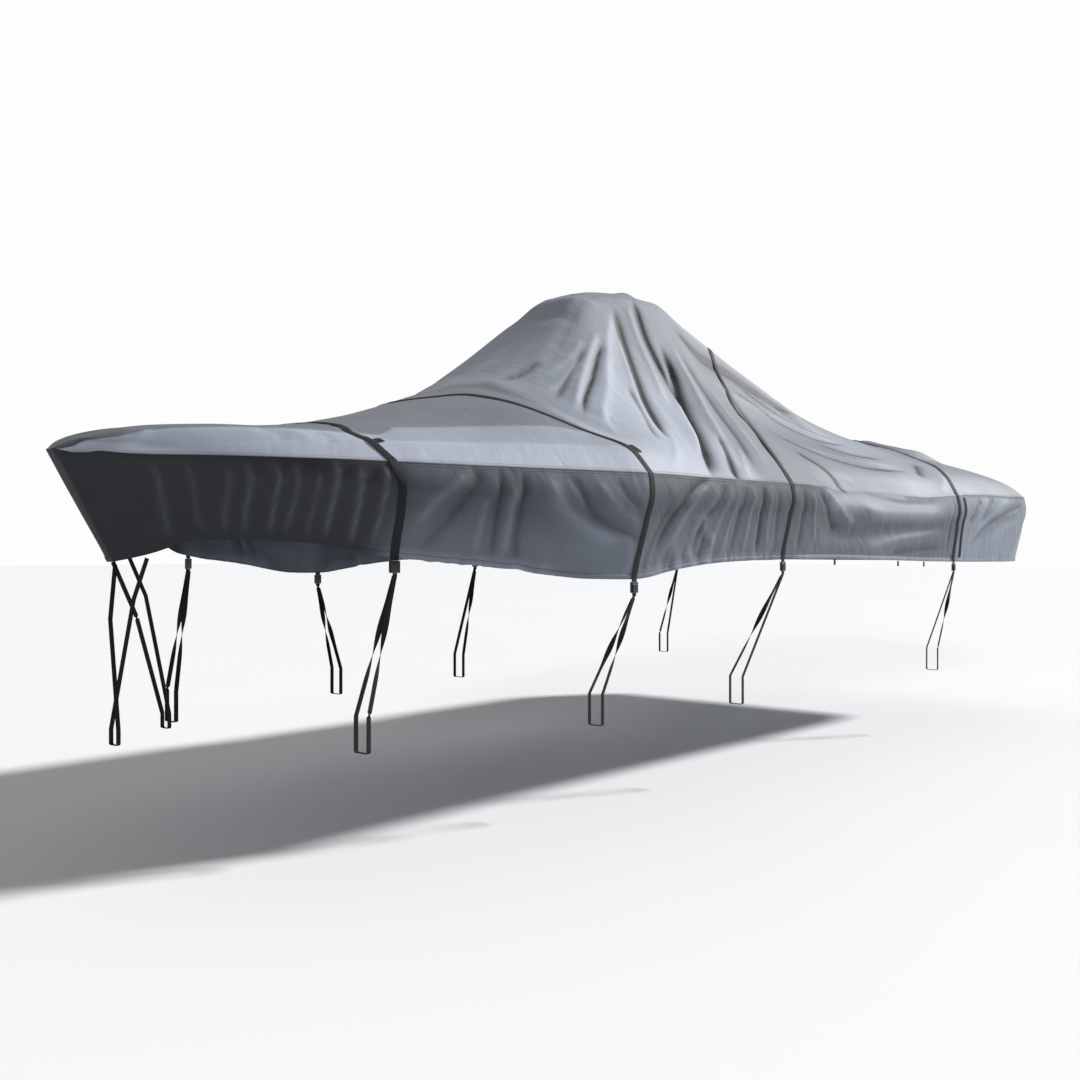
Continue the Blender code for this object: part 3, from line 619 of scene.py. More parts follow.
@dataclass
class Folds:
    """The folds of the whole cover, each listed one by one, and the small wrinkles between them."""

    shape: CoverShape
    bow: tuple[Fold, ...] = (
        # full nose, the crease behind it, and the turn from deck to its lighter side strips
        soft(120, 16, (0.03, 0.85), (0.08, 0.40), (0.10, 0.02)),
        sharp(34, 8, (0.12, 0.86), (0.18, 0.73), (0.28, 0.50)),
        sharp(70, 9, (1.10, 0.49), (1.24, 0.49), (1.71, 0.56), (2.14, 0.65), (2.32, 0.67)),
        sharp(26, 5, (0.73, 0.80), (1.08, 0.83), (1.60, 0.82), (2.24, 0.82)),
        soft(120, -7, (0.55, 0.25), (1.10, 0.30), (1.70, 0.20)),
        soft(30, -7, (0.94, 0.27), (1.04, 0.40), (1.06, 0.61)),
        soft(60, -9, (2.30, 0.02), (2.24, 0.20), (2.30, 0.36), (2.36, 0.50), (2.40, 0.66), (2.44, 0.80)),
        soft(70, -6, (1.30, 0.40), (1.70, 0.40), (2.10, 0.42)),
        soft(26, -5, (0.60, 0.62), (0.66, 0.74), (0.62, 0.86)),
        soft(26, -5, (0.80, 0.66), (0.84, 0.76), (0.80, 0.88)),
        soft(22, 4, (0.72, 0.64), (0.75, 0.76), (0.72, 0.88)),
        # thin upright folds of the bow skirt
        sharp(16, 4, (0.14, 1.04), (0.16, 1.58), (0.20, 1.97)),
        sharp(14, 3, (0.24, 1.04), (0.28, 1.62), (0.35, 1.97)),
        sharp(14, 4, (0.38, 1.10), (0.39, 1.62), (0.43, 1.97)),
        sharp(13, 6, (0.45, 1.02), (0.46, 1.53), (0.50, 1.97)),
        sharp(13, 6, (0.55, 1.02), (0.56, 1.50), (0.60, 1.97)),
        sharp(14, 5, (0.62, 1.02), (0.63, 1.43), (0.65, 1.97)),
        sharp(12, 4, (0.70, 1.10), (0.71, 1.50), (0.74, 1.97)),
        sharp(14, 8, (0.77, 1.02), (0.78, 1.48), (0.82, 1.97)),
        sharp(14, 9, (0.86, 1.06), (0.89, 1.50), (0.93, 1.97)),
        sharp(13, 8, (0.97, 1.04), (0.99, 1.43), (1.02, 1.97)),
        soft(30, -5, (0.50, 1.05), (0.51, 1.50), (0.55, 1.98)),
        soft(30, -6, (0.82, 1.05), (0.84, 1.50), (0.88, 1.98)),
        soft(24, -6, (0.92, 1.05), (0.94, 1.50), (0.97, 1.98)),
        # skirt between the first two straps
        soft(24, 8, (1.34, 1.10), (1.22, 1.38), (1.16, 1.68)),
        sharp(36, -9, (1.42, 1.02), (1.32, 1.50), (1.22, 1.97)),
        sharp(28, -12, (1.50, 1.01), (1.53, 1.50), (1.58, 1.99)),
        sharp(26, -11, (1.62, 1.02), (1.65, 1.62), (1.70, 1.99)),
        soft(20, 9, (1.57, 1.20), (1.59, 1.55), (1.62, 1.92)),
        soft(18, 7, (1.45, 1.30), (1.46, 1.60), (1.48, 1.92)),
        sharp(44, 11, (1.72, 1.04), (1.82, 1.33), (2.02, 1.56), (2.26, 1.70), end=30),
        sharp(36, -9, (1.84, 1.01), (2.04, 1.40), (2.38, 1.66), end=24),
        sharp(28, 6, (2.00, 1.10), (2.15, 1.34), (2.30, 1.48), end=20),
        sharp(28, -6, (2.12, 1.08), (2.20, 1.24), (2.31, 1.36), end=20),
        soft(70, -9, (1.74, 1.40), (1.95, 1.70), (2.30, 1.86)),
    )
    tent: tuple[Fold, ...] = (
        # the crown's front edge, and the hollow that sets it off
        soft(280, -48, (4.05, 0.00), (4.05, 0.30)),
        soft(80, 20, (3.73, 0.00), (3.70, 0.30)),
        soft(110, -22, (3.93, 0.00), (3.92, 0.30)),
        soft(90, 8, (3.30, 0.00), (3.32, 0.24)),
        soft(120, -10, (3.50, 0.00), (3.50, 0.14)),
        sharp(44, 8, (3.17, 0.00), (3.19, 0.14), (3.24, 0.30), (3.30, 0.38)),
        soft(70, -8, (3.02, 0.00), (3.02, 0.20), (3.08, 0.34)),
        # front face, and its turn to the side
        sharp(60, 20, (3.38, 0.38), (3.34, 0.41), (3.11, 0.47), (2.85, 0.52), (2.50, 0.59), (2.40, 0.66)),
        sharp(28, 16, (3.12, 0.42), (2.85, 0.43), (2.60, 0.46), (2.38, 0.50), end=20),
        sharp(32, -14, (3.10, 0.45), (2.82, 0.475), (2.58, 0.50), (2.42, 0.55), end=22),
        sharp(23, 8, (2.95, 0.38), (2.73, 0.36), (2.46, 0.28)),
        sharp(25, 8, (2.80, 0.40), (2.60, 0.39), (2.36, 0.36)),
        sharp(28, -8, (2.92, 0.405), (2.70, 0.405), (2.40, 0.42)),
        sharp(30, -6, (2.64, 0.25), (2.45, 0.20), (2.36, 0.15)),
        sharp(28, 6, (2.60, 0.56), (2.50, 0.62), (2.42, 0.72)),
        # long folds that run from the crown's corner down the side
        sharp(26, -30, (3.70, 0.32), (3.66, 0.38), (3.58, 0.47), (3.54, 0.55), (3.46, 0.64), (3.36, 0.70), end=40),
        sharp(37, 14, (3.60, 0.36), (3.48, 0.48), (3.40, 0.58), (3.24, 0.68), end=40),
        sharp(39, -22, (3.44, 0.38), (3.23, 0.54), (3.01, 0.67), (2.85, 0.77), (2.78, 0.84), end=30),
        sharp(39, 12, (3.30, 0.46), (3.10, 0.58), (2.90, 0.68), (2.70, 0.78), end=40),
        sharp(28, -9, (3.02, 0.58), (2.93, 0.65), (2.75, 0.75), (2.68, 0.82)),
        sharp(38, -52, (3.70, 0.48), (3.68, 0.53), (3.52, 0.64), (3.31, 0.75), (3.15, 0.83), (2.97, 0.94),
              (2.84, 1.02)),
        sharp(41, 20, (3.60, 0.53), (3.42, 0.66), (3.20, 0.77), (3.00, 0.87), end=50),
        sharp(41, 18, (3.82, 0.48), (3.76, 0.60), (3.58, 0.72), (3.36, 0.84), (3.20, 0.95), end=44),
        sharp(26, -22, (3.46, 0.78), (3.40, 0.81), (3.19, 0.95), (3.10, 1.04)),
        sharp(28, 9, (3.52, 0.82), (3.34, 0.93), (3.24, 1.00)),
        sharp(32, -8, (3.88, 0.48), (3.86, 0.60), (3.72, 0.74), (3.54, 0.86), (3.42, 0.95), end=34),
        sharp(30, 7, (3.98, 0.42), (3.98, 0.56), (3.88, 0.70), (3.72, 0.82), (3.60, 0.92), end=34),
        sharp(34, -10, (4.42, 0.42), (4.39, 0.53), (4.31, 0.63), (3.94, 0.79), (3.76, 0.92), end=34),
        sharp(46, 9, (2.95, 0.74), (2.74, 0.86), (2.56, 0.97), end=40),
    )
    slope: tuple[Fold, ...] = (
        # the long slope aft: the hollow beside its spine, and the swags below it
        sharp(60, -20, (3.98, 0.42), (4.05, 0.43), (4.33, 0.44), (4.72, 0.42), (5.12, 0.43), (5.65, 0.40)),
        sharp(51, 14, (4.00, 0.32), (4.50, 0.31), (5.10, 0.32), (5.80, 0.33)),
        sharp(46, 10, (4.20, 0.53), (4.60, 0.54), (5.10, 0.55), (5.80, 0.56)),
        sharp(24, -13, (4.46, 0.50), (4.70, 0.53), (4.92, 0.58), (5.30, 0.61), (5.90, 0.58)),
        sharp(22, -11, (4.62, 0.45), (4.96, 0.50), (5.24, 0.54), (5.90, 0.54)),
        sharp(24, -13, (4.42, 0.66), (4.60, 0.74), (4.80, 0.80), (5.20, 0.83), (5.90, 0.82)),
        sharp(24, -18, (4.34, 0.78), (4.42, 0.90), (4.46, 1.04), (4.48, 1.16)),
        sharp(46, 9, (4.52, 0.70), (4.84, 0.76), (5.30, 0.78), (6.00, 0.77)),
        sharp(46, -10, (5.10, 0.66), (5.50, 0.70), (6.00, 0.70)),
        sharp(41, 10, (4.52, 0.86), (4.72, 0.98), (5.00, 1.06), (5.50, 1.08)),
        sharp(39, -10, (4.62, 0.94), (4.90, 1.05), (5.30, 1.12), (5.90, 1.10)),
        sharp(28, 6, (4.86, 0.38), (5.08, 0.48), (5.24, 0.60)),
        sharp(25, -6, (5.02, 0.36), (5.28, 0.47), (5.50, 0.60)),
        sharp(28, 6, (5.40, 0.38), (5.66, 0.48), (5.92, 0.60)),
        sharp(46, -9, (5.95, 0.86), (6.15, 0.80), (6.35, 0.74)),
        sharp(41, 8, (6.00, 0.96), (6.20, 0.90), (6.34, 0.84)),
        soft(300, 52, (7.22, 0.00), (7.22, 0.62)),
        soft(90, -8, (6.50, 0.20), (6.80, 0.40), (6.95, 0.60)),
        soft(50, 6, (6.60, 0.55), (6.90, 0.50), (7.30, 0.52)),
        sharp(39, -10, (7.02, 0.06), (6.98, 0.36), (6.84, 0.60), (6.50, 0.82)),
        sharp(34, 9, (6.82, 0.06), (6.80, 0.34), (6.68, 0.56)),
        soft(110, -30, (7.80, 0.00), (7.78, 0.50), (7.74, 0.95)),
        # the gunwale's edge is lost under the swags
        soft(120, -50, (4.10, 1.00), (4.50, 1.00), (5.20, 1.00), (5.90, 1.00), (6.15, 1.00)),
        soft(50, -10, (6.30, 1.00), (6.80, 1.00), (7.40, 1.00)),
    )
    skirts: tuple[Fold, ...] = (
        sharp(26, -16, (2.86, 1.00), (2.66, 1.20), (2.52, 1.50), (2.44, 1.83)),
        # skirt between the second and third straps
        sharp(23, 9, (2.84, 1.08), (2.72, 1.24), (2.60, 1.56), (2.50, 1.84)),
        sharp(23, 7, (2.96, 1.12), (2.84, 1.34), (2.70, 1.70)),
        sharp(23, -9, (3.02, 1.06), (2.92, 1.30), (2.80, 1.62), (2.76, 1.90)),
        sharp(21, 7, (3.08, 1.10), (3.00, 1.35), (2.94, 1.70), (2.92, 1.96)),
        sharp(21, -8, (3.21, 1.06), (3.16, 1.40), (3.14, 1.96)),
        sharp(18, 7, (3.13, 1.12), (3.08, 1.50), (3.05, 1.96)),
        sharp(21, 8, (3.28, 1.08), (3.26, 1.50), (3.26, 1.96)),
        sharp(23, -13, (3.38, 1.04), (3.39, 1.40), (3.42, 1.96)),
        sharp(18, 6, (3.45, 1.10), (3.47, 1.50), (3.52, 1.96)),
        sharp(21, -6, (3.54, 1.06), (3.57, 1.48), (3.63, 1.96)),
        sharp(30, 13, (2.84, 1.44), (2.83, 1.62)),
        sharp(23, 9, (2.92, 1.66), (2.93, 1.80)),
        sharp(28, 10, (2.70, 1.82), (2.78, 1.92)),
        sharp(25, -9, (2.86, 1.66), (2.84, 1.94)),
        sharp(30, -8, (2.52, 1.30), (2.44, 1.55), (2.39, 1.85)),
        # skirt from the third strap to the fourth: the swags hang over it
        sharp(39, 14, (4.12, 1.06), (4.26, 1.22), (4.42, 1.42), (4.56, 1.50)),
        sharp(32, -12, (4.02, 1.06), (4.12, 1.26), (4.24, 1.50), (4.36, 1.62)),
        soft(46, 18, (4.60, 1.26), (5.00, 1.36), (5.50, 1.36), (5.95, 1.28)),
        soft(60, -24, (4.10, 1.62), (4.50, 1.66), (5.00, 1.58), (5.50, 1.50), (5.95, 1.42)),
        sharp(39, 12, (4.70, 1.86), (5.20, 1.70), (5.70, 1.60), (6.02, 1.54)),
        sharp(24, -12, (5.10, 1.92), (5.50, 1.84), (6.00, 1.78)),
        sharp(23, -9, (3.84, 1.05), (3.86, 1.50), (3.88, 1.94)),
        sharp(23, 7, (3.94, 1.10), (3.99, 1.45), (4.06, 1.80)),
        # from the fourth strap to the stern
        sharp(24, -14, (6.60, 1.08), (6.48, 1.24), (6.36, 1.42)),
        sharp(24, -12, (6.86, 1.06), (6.72, 1.22), (6.58, 1.40)),
        sharp(30, -20, (7.50, 1.12), (7.10, 1.26), (6.74, 1.48), (6.40, 1.80)),
        sharp(39, 10, (6.74, 1.06), (6.58, 1.26), (6.40, 1.48)),
        sharp(39, 10, (7.20, 1.06), (6.92, 1.22), (6.60, 1.48), (6.40, 1.66)),
        sharp(51, 9, (7.50, 1.30), (7.10, 1.50), (6.70, 1.80)),
        sharp(34, -6, (7.66, 1.30), (7.45, 1.65), (7.30, 1.94)),
        sharp(23, -7, (6.08, 1.10), (6.04, 1.50), (6.06, 1.92)),
    )
    transom: tuple[Fold, ...] = (
        soft(34, 9, (0.12, 0.10), (0.16, 0.50), (0.22, 0.95)),
        soft(30, -9, (0.24, 0.10), (0.28, 0.55), (0.34, 0.95)),
        soft(36, 10, (0.42, 0.12), (0.47, 0.50), (0.55, 0.95)),
        soft(30, -8, (0.60, 0.08), (0.62, 0.50), (0.68, 0.95)),
        soft(34, 9, (0.78, 0.10), (0.80, 0.55), (0.86, 0.95)),
        soft(26, -7, (0.92, 0.08), (0.92, 0.50), (0.95, 0.95)),
    )
    twin_shift: float = 0.05
    twin_rise: float = 0.85
    widths_felt: float = 3.2  # a fold is felt this many half widths from its line
    crest_round: float = 0.25
    crest_fall: float = 2.2
    marked_width: float = 0.062  # wider folds get no painted shade or highlight
    marked_power: float = 1.15
    hollow_weight: float = 1.7
    hollow_full: float = 0.020

    def _line(self, side: Side, fold: Fold, shift: float) -> np.ndarray:
        """Lay a fold's way on the cover as closely spaced points.

        Args:
            side: the side that it lies on.
            fold: the fold.
            shift: how far aft it is moved.

        Returns:
            The points of its way.
        """
        route = np.array(fold.route, float)
        steps = np.concatenate([[0.0], np.cumsum(np.hypot(np.diff(route[:, 0]), np.diff(route[:, 1])))])
        places = smooth(steps, route[:, None], np.linspace(0.0, steps[-1], 8 * len(route)))
        aft = np.clip(places[:, 0] + shift, 0.0, self.shape.length)
        return self.shape.on_side(side, aft, np.abs(places[:, 1]))

    def _stern_line(self, side: Side, fold: Fold) -> np.ndarray:
        """Lay a fold's way on the transom, where the route is (across, down).

        Args:
            side: the side that it lies on.
            fold: the fold.

        Returns:
            The points of its way.
        """
        route = np.array(fold.route, float)
        places = smooth(route[:, 1], route[:, None], np.linspace(route[0, 1], route[-1, 1], 20))
        aft = np.full(len(places), self.shape.length)
        return self.shape.point(aft, side.value * places[:, 0], places[:, 1])

    def _stand(self, points: np.ndarray, fold: Fold, line: np.ndarray) -> np.ndarray:
        """Measure how far one fold stands out at each point.

        Args:
            points: places on the cloth.
            fold: the fold.
            line: the closely spaced points of its way.

        Returns:
            The height of the fold at each point, in metres.
        """
        reach = self.widths_felt * max(fold.widths)
        near = np.all((points > line.min(axis=0) - reach) & (points < line.max(axis=0) + reach), axis=1)
        stands = np.zeros(len(points))
        if not near.any():
            return stands
        close = points[near]
        start, run = line[:-1], np.diff(line, axis=0)
        long = np.linalg.norm(run, axis=1)
        done = np.concatenate([[0.0], np.cumsum(long)])
        from_start = close[:, None] - start
        part = np.clip(np.einsum("psk,sk->ps", from_start, run) / long**2, 0.0, 1.0)
        gap = from_start - part[:, :, None] * run
        far = np.linalg.norm(gap, axis=2)
        best = far.argmin(axis=1)
        row = np.arange(len(close))
        distance = far[row, best]
        along = (done[best] + part[row, best] * long[best]) / done[-1]
        width = fold.widths[0] + (fold.widths[1] - fold.widths[0]) * along
        ratio = distance / width
        if fold.profile is Profile.SOFT:
            height = np.exp(-(ratio**2))
        else:
            height = np.exp(self.crest_round - np.sqrt(self.crest_fall * ratio**2 + self.crest_round**2))
        start_end = ease(along, -0.02, fold.ends[0]) * (1 - ease(along, 1 - fold.ends[1], 1.02))
        stands[near] = fold.rise * height * start_end
        return stands

    def _fine(self, points: np.ndarray) -> np.ndarray:
        """Add the small uneven wrinkles: upright on the skirts, gathered at the hem, and fanning from the crown.

        Args:
            points: places on the cloth, in the part's frame.

        Returns:
            Their height at each, in metres.
        """
        place = points + self.shape.origin
        aft, side, up = place.T
        sign = np.sign(side) * 3.0
        skirt = 1 - ease(up, 1.62, 1.68)
        low = 1 - ease(up, 1.19, 1.33)
        girth = aft + 0.35 * np.abs(side)
        drift = 0.5 * wander(aft * 2.1, up * 5.0, 4.0)
        upright = wander(girth * 9.0 + drift, up * 1.6, 1.0 + sign) * 2.0
        upright += wander(girth * 21.0 + drift * 2, up * 3.0, 2.0 + sign) * 1.0
        gathers = wander(girth * 17.0 + drift * 2, up * 6.0, 3.0 + sign) * 9.0
        gathers += wander(girth * 37.0 + drift * 3, up * 9.0, 12.0 + sign) * 5.0
        gathers *= 1.2 * window(aft, 1.16, 1.80, 0.12) + 0.9 * window(aft, 2.42, 3.68, 0.12) + 0.3
        height = skirt * (upright * (0.5 + 0.5 * ease(aft, 1.0, 1.4)) + low * gathers)
        turn = np.arctan2(aft - 3.62, np.abs(side) + 0.05)
        radius = np.hypot(aft - 3.62, side)
        fan = wander(turn * 9.0 + 0.6 * wander(radius * 3, turn * 2, 8.0), radius * 1.1, 5.0 + sign) * 3.0
        fan += wander(turn * 23.0, radius * 2.0, 6.0 + sign) * 1.6
        height += (1 - skirt) * fan * window(aft, 2.5, 4.4, 0.25) * ease(radius, 0.45, 1.1)
        sway = wander(aft * 1.8 + up * 2.2, up * 5.5, 7.0 + sign) * 3.0 + wander(aft * 4 + up * 5, up * 13, 9.0 + sign)
        height += (1 - skirt) * sway * ease(aft, 4.2, 4.7)
        deck = wander(aft * 2.4 - side * 1.5, side * 3.4, 10.0) * 2.4 + wander(aft * 7, side * 7, 11.0) * 0.6
        height += (1 - skirt) * deck * (1 - ease(aft, 2.3, 2.7))
        return height / 1000

    def raise_cloth(self, points: np.ndarray) -> tuple[np.ndarray, np.ndarray]:
        """Move points of the smooth shape on to the folded cloth.

        Args:
            points: places on the smooth shape, in the part's frame.

        Returns:
            The same places with every fold and wrinkle, and how far each lies in a hollow (-1) or on a crest (1), which
            sets their painted shade and painted highlight.
        """
        outward = self.shape.outward(points)
        fine = self._fine(points)
        height, marks = np.zeros(len(points)), np.zeros(len(points))
        for side in Side:
            shift = 0.0 if side is Side.PORT else self.twin_shift
            share = 1.0 if side is Side.PORT else self.twin_rise
            half = points[:, 1] * side.value > -0.35
            total, mark = np.zeros(half.sum()), np.zeros(half.sum())
            lines = [(fold, self._line(side, fold, shift)) for fold in self.bow + self.tent + self.slope + self.skirts]
            lines += [(fold, self._stern_line(side, fold)) for fold in self.transom]
            for fold, line in lines:
                stands = share * self._stand(points[half], fold, line)
                total += stands
                # narrow folds leave a mark: painted shade along their hollows and painted highlight along their crests
                if max(fold.widths) < self.marked_width and (fold.profile is Profile.SHARP or fold.rise > 0):
                    core = np.clip(stands / (share * fold.rise), 0.0, 1.0) ** self.marked_power
                    weight = -self.hollow_weight if fold.rise < 0 else 1.0
                    mark += share * weight * core * min(1.0, abs(fold.rise) / self.hollow_full)
            height[half] += total
            marks[half] += mark
        # the small wrinkles add a little painted shade and highlight too
        tone = np.clip(marks + 0.3 * fine / self.hollow_full, -1.0, 1.0)
        return points + (height + fine)[:, None] * outward, tone


# --- cloth ----------------------------------------------------------------------------------------------------------


@dataclass
class ClothMesh:
    """A closed sheet of cloth made from a grid of points, with its UV map and what its finish reads."""

    name: str
    shape: CoverShape
    folds: Folds
    seam_gap: float = 0.00035
    casing: float = 0.026
    casing_rise: float = 0.004
    seam_lost: tuple[float, float] = (4.15, 6.05)  # here the gunwale's seam is lost under the swags
    # painted highlight on the folds' crests and painted shade in their hollows
    crest_highlight: float = 0.34
    hollow_shade: float = 0.90
    skirt_hollow_shade: float = 0.26
    least_shade: float = 0.35

    def _spans(self, grid: np.ndarray, axis: int) -> np.ndarray:
        """Measure the way along one axis of the grid.

        Args:
            grid: the grid's points, shape (rows, columns, 3).
            axis: 0 to go down its rows and 1 to go across its columns.

        Returns:
            How far each point is from the start, in metres.
        """
        steps = np.linalg.norm(np.diff(grid, axis=axis), axis=2)
        start = np.zeros_like(steps[:1] if axis == 0 else steps[:, :1])
        return np.concatenate([start, np.cumsum(steps, axis=axis)], axis=axis)

    def _normals(self, grid: np.ndarray) -> np.ndarray:
        """Find the outward normals of a grid whose two directions turn outwards."""
        return unit(np.cross(np.gradient(grid, axis=0), np.gradient(grid, axis=1)))

    def _drawn_in(self, grid: np.ndarray) -> np.ndarray:
        """Move each of the grid's four edges in along the cloth by the seam's gap.

        Args:
            grid: the grid's points.

        Returns:
            The grid with its edges drawn in.
        """
        moved, every = grid.copy(), slice(None)
        for edge, inner in ((0, 1), (-1, -2), ((every, 0), (every, 1)), ((every, -1), (every, -2))):
            moved[edge] += self.seam_gap * unit(grid[inner] - grid[edge])
        return moved

    def build(
        self, aft: np.ndarray, across: np.ndarray, down: np.ndarray, painted_light: np.ndarray, seams: str, hem: bool
    ) -> Object:
        """Make the sheet as a mesh.

        Args:
            aft: the stations of the grid's points, shape (rows, columns).
            across: their places across the top.
            down: their places down the skirt.
            painted_light: how much painted light and shade the cloth has at each.
            seams: the grid's edges that are sewn, from "top", "bottom", "left" and "right".
            hem: whether the grid's last row is a hem with a casing.

        Returns:
            The finished object.
        """
        rows, columns = aft.shape
        base = self.shape.point(aft.ravel(), across.ravel(), down.ravel())
        grid, tone = self.folds.raise_cloth(base)
        grid = grid.reshape(rows, columns, 3)
        tone = tone.reshape(rows, columns)
        # painted highlight on fold crests and painted shade in fold hollows
        hollow_shade = self.skirt_hollow_shade if hem else self.hollow_shade
        painted_light = painted_light + np.where(tone > 0, self.crest_highlight * tone, hollow_shade * tone * (self.least_shade + painted_light))
        lengths, widths = (self._spans(base.reshape(rows, columns, 3), axis) for axis in (0, 1))
        from_hem = lengths[-1] - lengths if hem else np.full((rows, columns), 1.0)
        if hem:
            puff = np.sin(np.pi * np.clip(from_hem / self.casing, 0.0, 1.0))
            grid = grid + (self.casing_rise * puff)[:, :, None] * self.shape.outward(base).reshape(grid.shape)
        edges = {"top": lengths, "bottom": lengths[-1] - lengths, "left": widths, "right": widths[:, -1:] - widths}
        edge = np.full((rows, columns), 1.0)
        for name in seams.split():
            edge = np.minimum(edge, edges[name])
        edge = edge + window(aft, *self.seam_lost, 0.2)
        run = widths if hem else lengths
        outer = self._drawn_in(grid)
        inner = outer - self.shape.cloth * self._normals(grid)
        index = np.arange(rows * columns).reshape(rows, columns)
        quads = np.stack([index[:-1, :-1], index[1:, :-1], index[1:, 1:], index[:-1, 1:]], axis=2).reshape(-1, 4)
        rim = np.concatenate([index[0], index[1:, -1], index[-1, -2::-1], index[-2:0:-1, 0]])
        after = np.roll(rim, -1)
        inside = rows * columns
        border = np.stack([rim, after, after + inside, rim + inside], axis=1)
        faces = np.concatenate([quads, quads[:, ::-1] + inside, border])
        points = np.concatenate([outer.reshape(-1, 3), inner.reshape(-1, 3)])
        mesh = bpy.data.meshes.new(self.name)
        mesh.from_pydata(points.tolist(), [], faces.tolist())
        add_uv(mesh, "cloth", np.tile(np.stack([widths, lengths], axis=2).reshape(-1, 2), (2, 1)))
        for name, values in (("painted_light", painted_light), ("edge", edge), ("hem", from_hem), ("run", run)):
            stored = mesh.attributes.new(name, "FLOAT", "POINT")
            stored.data.foreach_set("value", np.tile(values.ravel(), 2).astype(np.float32))
        return add_mesh(mesh, crease=60)


@dataclass
class ClothPanels:
    """The cover's five cloth panels: foredeck, console, two skirts and transom."""

    shape: CoverShape
    folds: Folds
    fore_rows: tuple[tuple[float, float, int], ...] = ((0.0, 2.34, 140),)
    aft_rows: tuple[tuple[float, float, int], ...] = ((2.34, 4.55, 158), (4.55, 6.60, 78), (6.60, 7.85, 36))
    fore_half: tuple[tuple[float, float, int], ...] = (
        (0.0, 0.30, 16), (0.30, 0.62, 22), (0.62, 0.86, 18), (0.86, 0.985, 12), (0.985, 1.0, 2),
    )
    aft_half: tuple[tuple[float, float, int], ...] = (
        (0.0, 0.12, 6), (0.12, 0.30, 8), (0.30, 0.62, 30), (0.62, 0.86, 26), (0.86, 0.985, 12), (0.985, 1.0, 2),
    )
    skirt_rows: tuple[tuple[float, float, int], ...] = ((0.0, 0.02, 2), (0.02, 0.92, 30), (0.92, 1.0, 8))
    skirt_step: float = 0.0135
    # the transom's even level of painted light
    transom_painted_light: float = 0.42
    cut: dict[str, tuple[tuple[float, float], float]] = field(default_factory=lambda: {
        "foredeck_panel": ((2.52, 2.55), 4.37),
        "console_panel": ((5.70, 4.10), 16.95),
        "skirt_port": ((8.25, 0.50), 3.78),
        "skirt_starboard": ((8.25, 0.50), 3.78),
        "transom_panel": ((3.30, 0.52), 1.61),
    })

    @staticmethod
    def _steps(runs: tuple[tuple[float, float, int], ...]) -> np.ndarray:
        """Space the places of each run evenly, and end on the last one."""
        parts = [np.linspace(low, high, count, endpoint=False) for low, high, count in runs]
        return np.concatenate(parts + [[runs[-1][1]]])

    def _top_painted_light(self, aft: np.ndarray, across: np.ndarray) -> np.ndarray:
        """Paint light and shade on the top: lightest on the console's sides and the deck's edge strips.

        Args:
            aft: the stations of the points.
            across: their places across the top.

        Returns:
            The painted light at each, from 0 in full painted shade to 1 in full light.
        """
        share = np.abs(across)
        # painted light and shade, part by part: the console's sides and the deck's edge strips lit, the deck and the
        # aft slope shaded
        painted_light = 0.53 + 0.23 * (1 - ease(aft, 2.75, 3.15)) + 0.10 * ease(share, 0.42, 0.54)
        painted_light += 0.22 * window(aft, 2.45, 3.30, 0.25) * ease(share, 0.52, 0.66)
        painted_light -= 0.20 * window(aft, 3.50, 5.4, 0.25) * (0.35 + 0.65 * ease(share, 0.30, 0.50))
        painted_light += 0.10 * window(aft, 5.4, 6.3, 0.3) - 0.12 * ease(aft, 6.4, 6.8)
        shade_line = np.interp(aft, [0.0, 0.5, 1.1, 1.24, 1.71, 2.14, 2.34], [0.60, 0.60, 0.62, 0.50, 0.56, 0.65, 0.68])
        band = np.interp(aft, [0.0, 0.75, 1.08, 2.34], [0.95, 0.80, 0.83, 0.82])
        strips = 0.37 + 0.40 * ease(share - shade_line, -0.012, 0.012) + 0.15 * ease(share - band, -0.008, 0.008)
        strips += 0.16 * (1 - ease(aft, 1.02, 1.10)) * ease(share, 0.50, 0.66)
        fore = 1 - ease(aft, 2.28, 2.36)
        painted_light = painted_light * (1 - fore) + strips * fore
        # painted shade over the nose, and a little on the stern's sides
        nose = 0.28 - 0.22 * np.abs(across)
        painted_light -= 0.18 * (1 - ease(aft - nose, -0.01, 0.03))
        painted_light -= 0.04 * ease(aft, 6.9, 7.3) * ease(share, 0.5, 0.9)
        return painted_light

    def _skirt_painted_light(self, aft: np.ndarray, down: np.ndarray) -> np.ndarray:
        """Paint light and shade on the skirts: darkest at the bow, lighter aft, and lightest under the swags.

        Args:
            aft: the stations of the points.
            down: how far down the skirt they lie.

        Returns:
            How bleached each is, from 0 to 1.
        """
        # painted shade at the unlit bow, painted light growing aft, on the swags and on the stern's skirt
        painted_light = 0.005 + 0.14 * ease(aft, 0.95, 1.2) + 0.10 * ease(aft, 1.6, 2.3) * (1 - ease(aft, 2.3, 2.4))
        painted_light += 0.13 * ease(aft, 0.95, 1.2) * ease(down, 0.3, 0.8)
        swag = window(aft, 4.40, 6.0, 0.45)
        painted_light += 0.40 * swag * (1 - ease(down, 0.15, 0.50)) + 0.36 * ease(aft, 6.15, 6.35) - 0.03 * swag
        # lighter along the hem's casing from station 3.95 to 6.1
        painted_light += 0.35 * window(aft, 3.95, 6.1, 0.15) * ease(down, 0.93, 0.945)
        # painted highlights on the hem's puckers
        puckers = window(aft, 1.14, 1.85, 0.1) + window(aft, 2.42, 3.68, 0.1)
        painted_light += 0.16 * puckers * ease(down, 0.86, 0.96)
        return painted_light

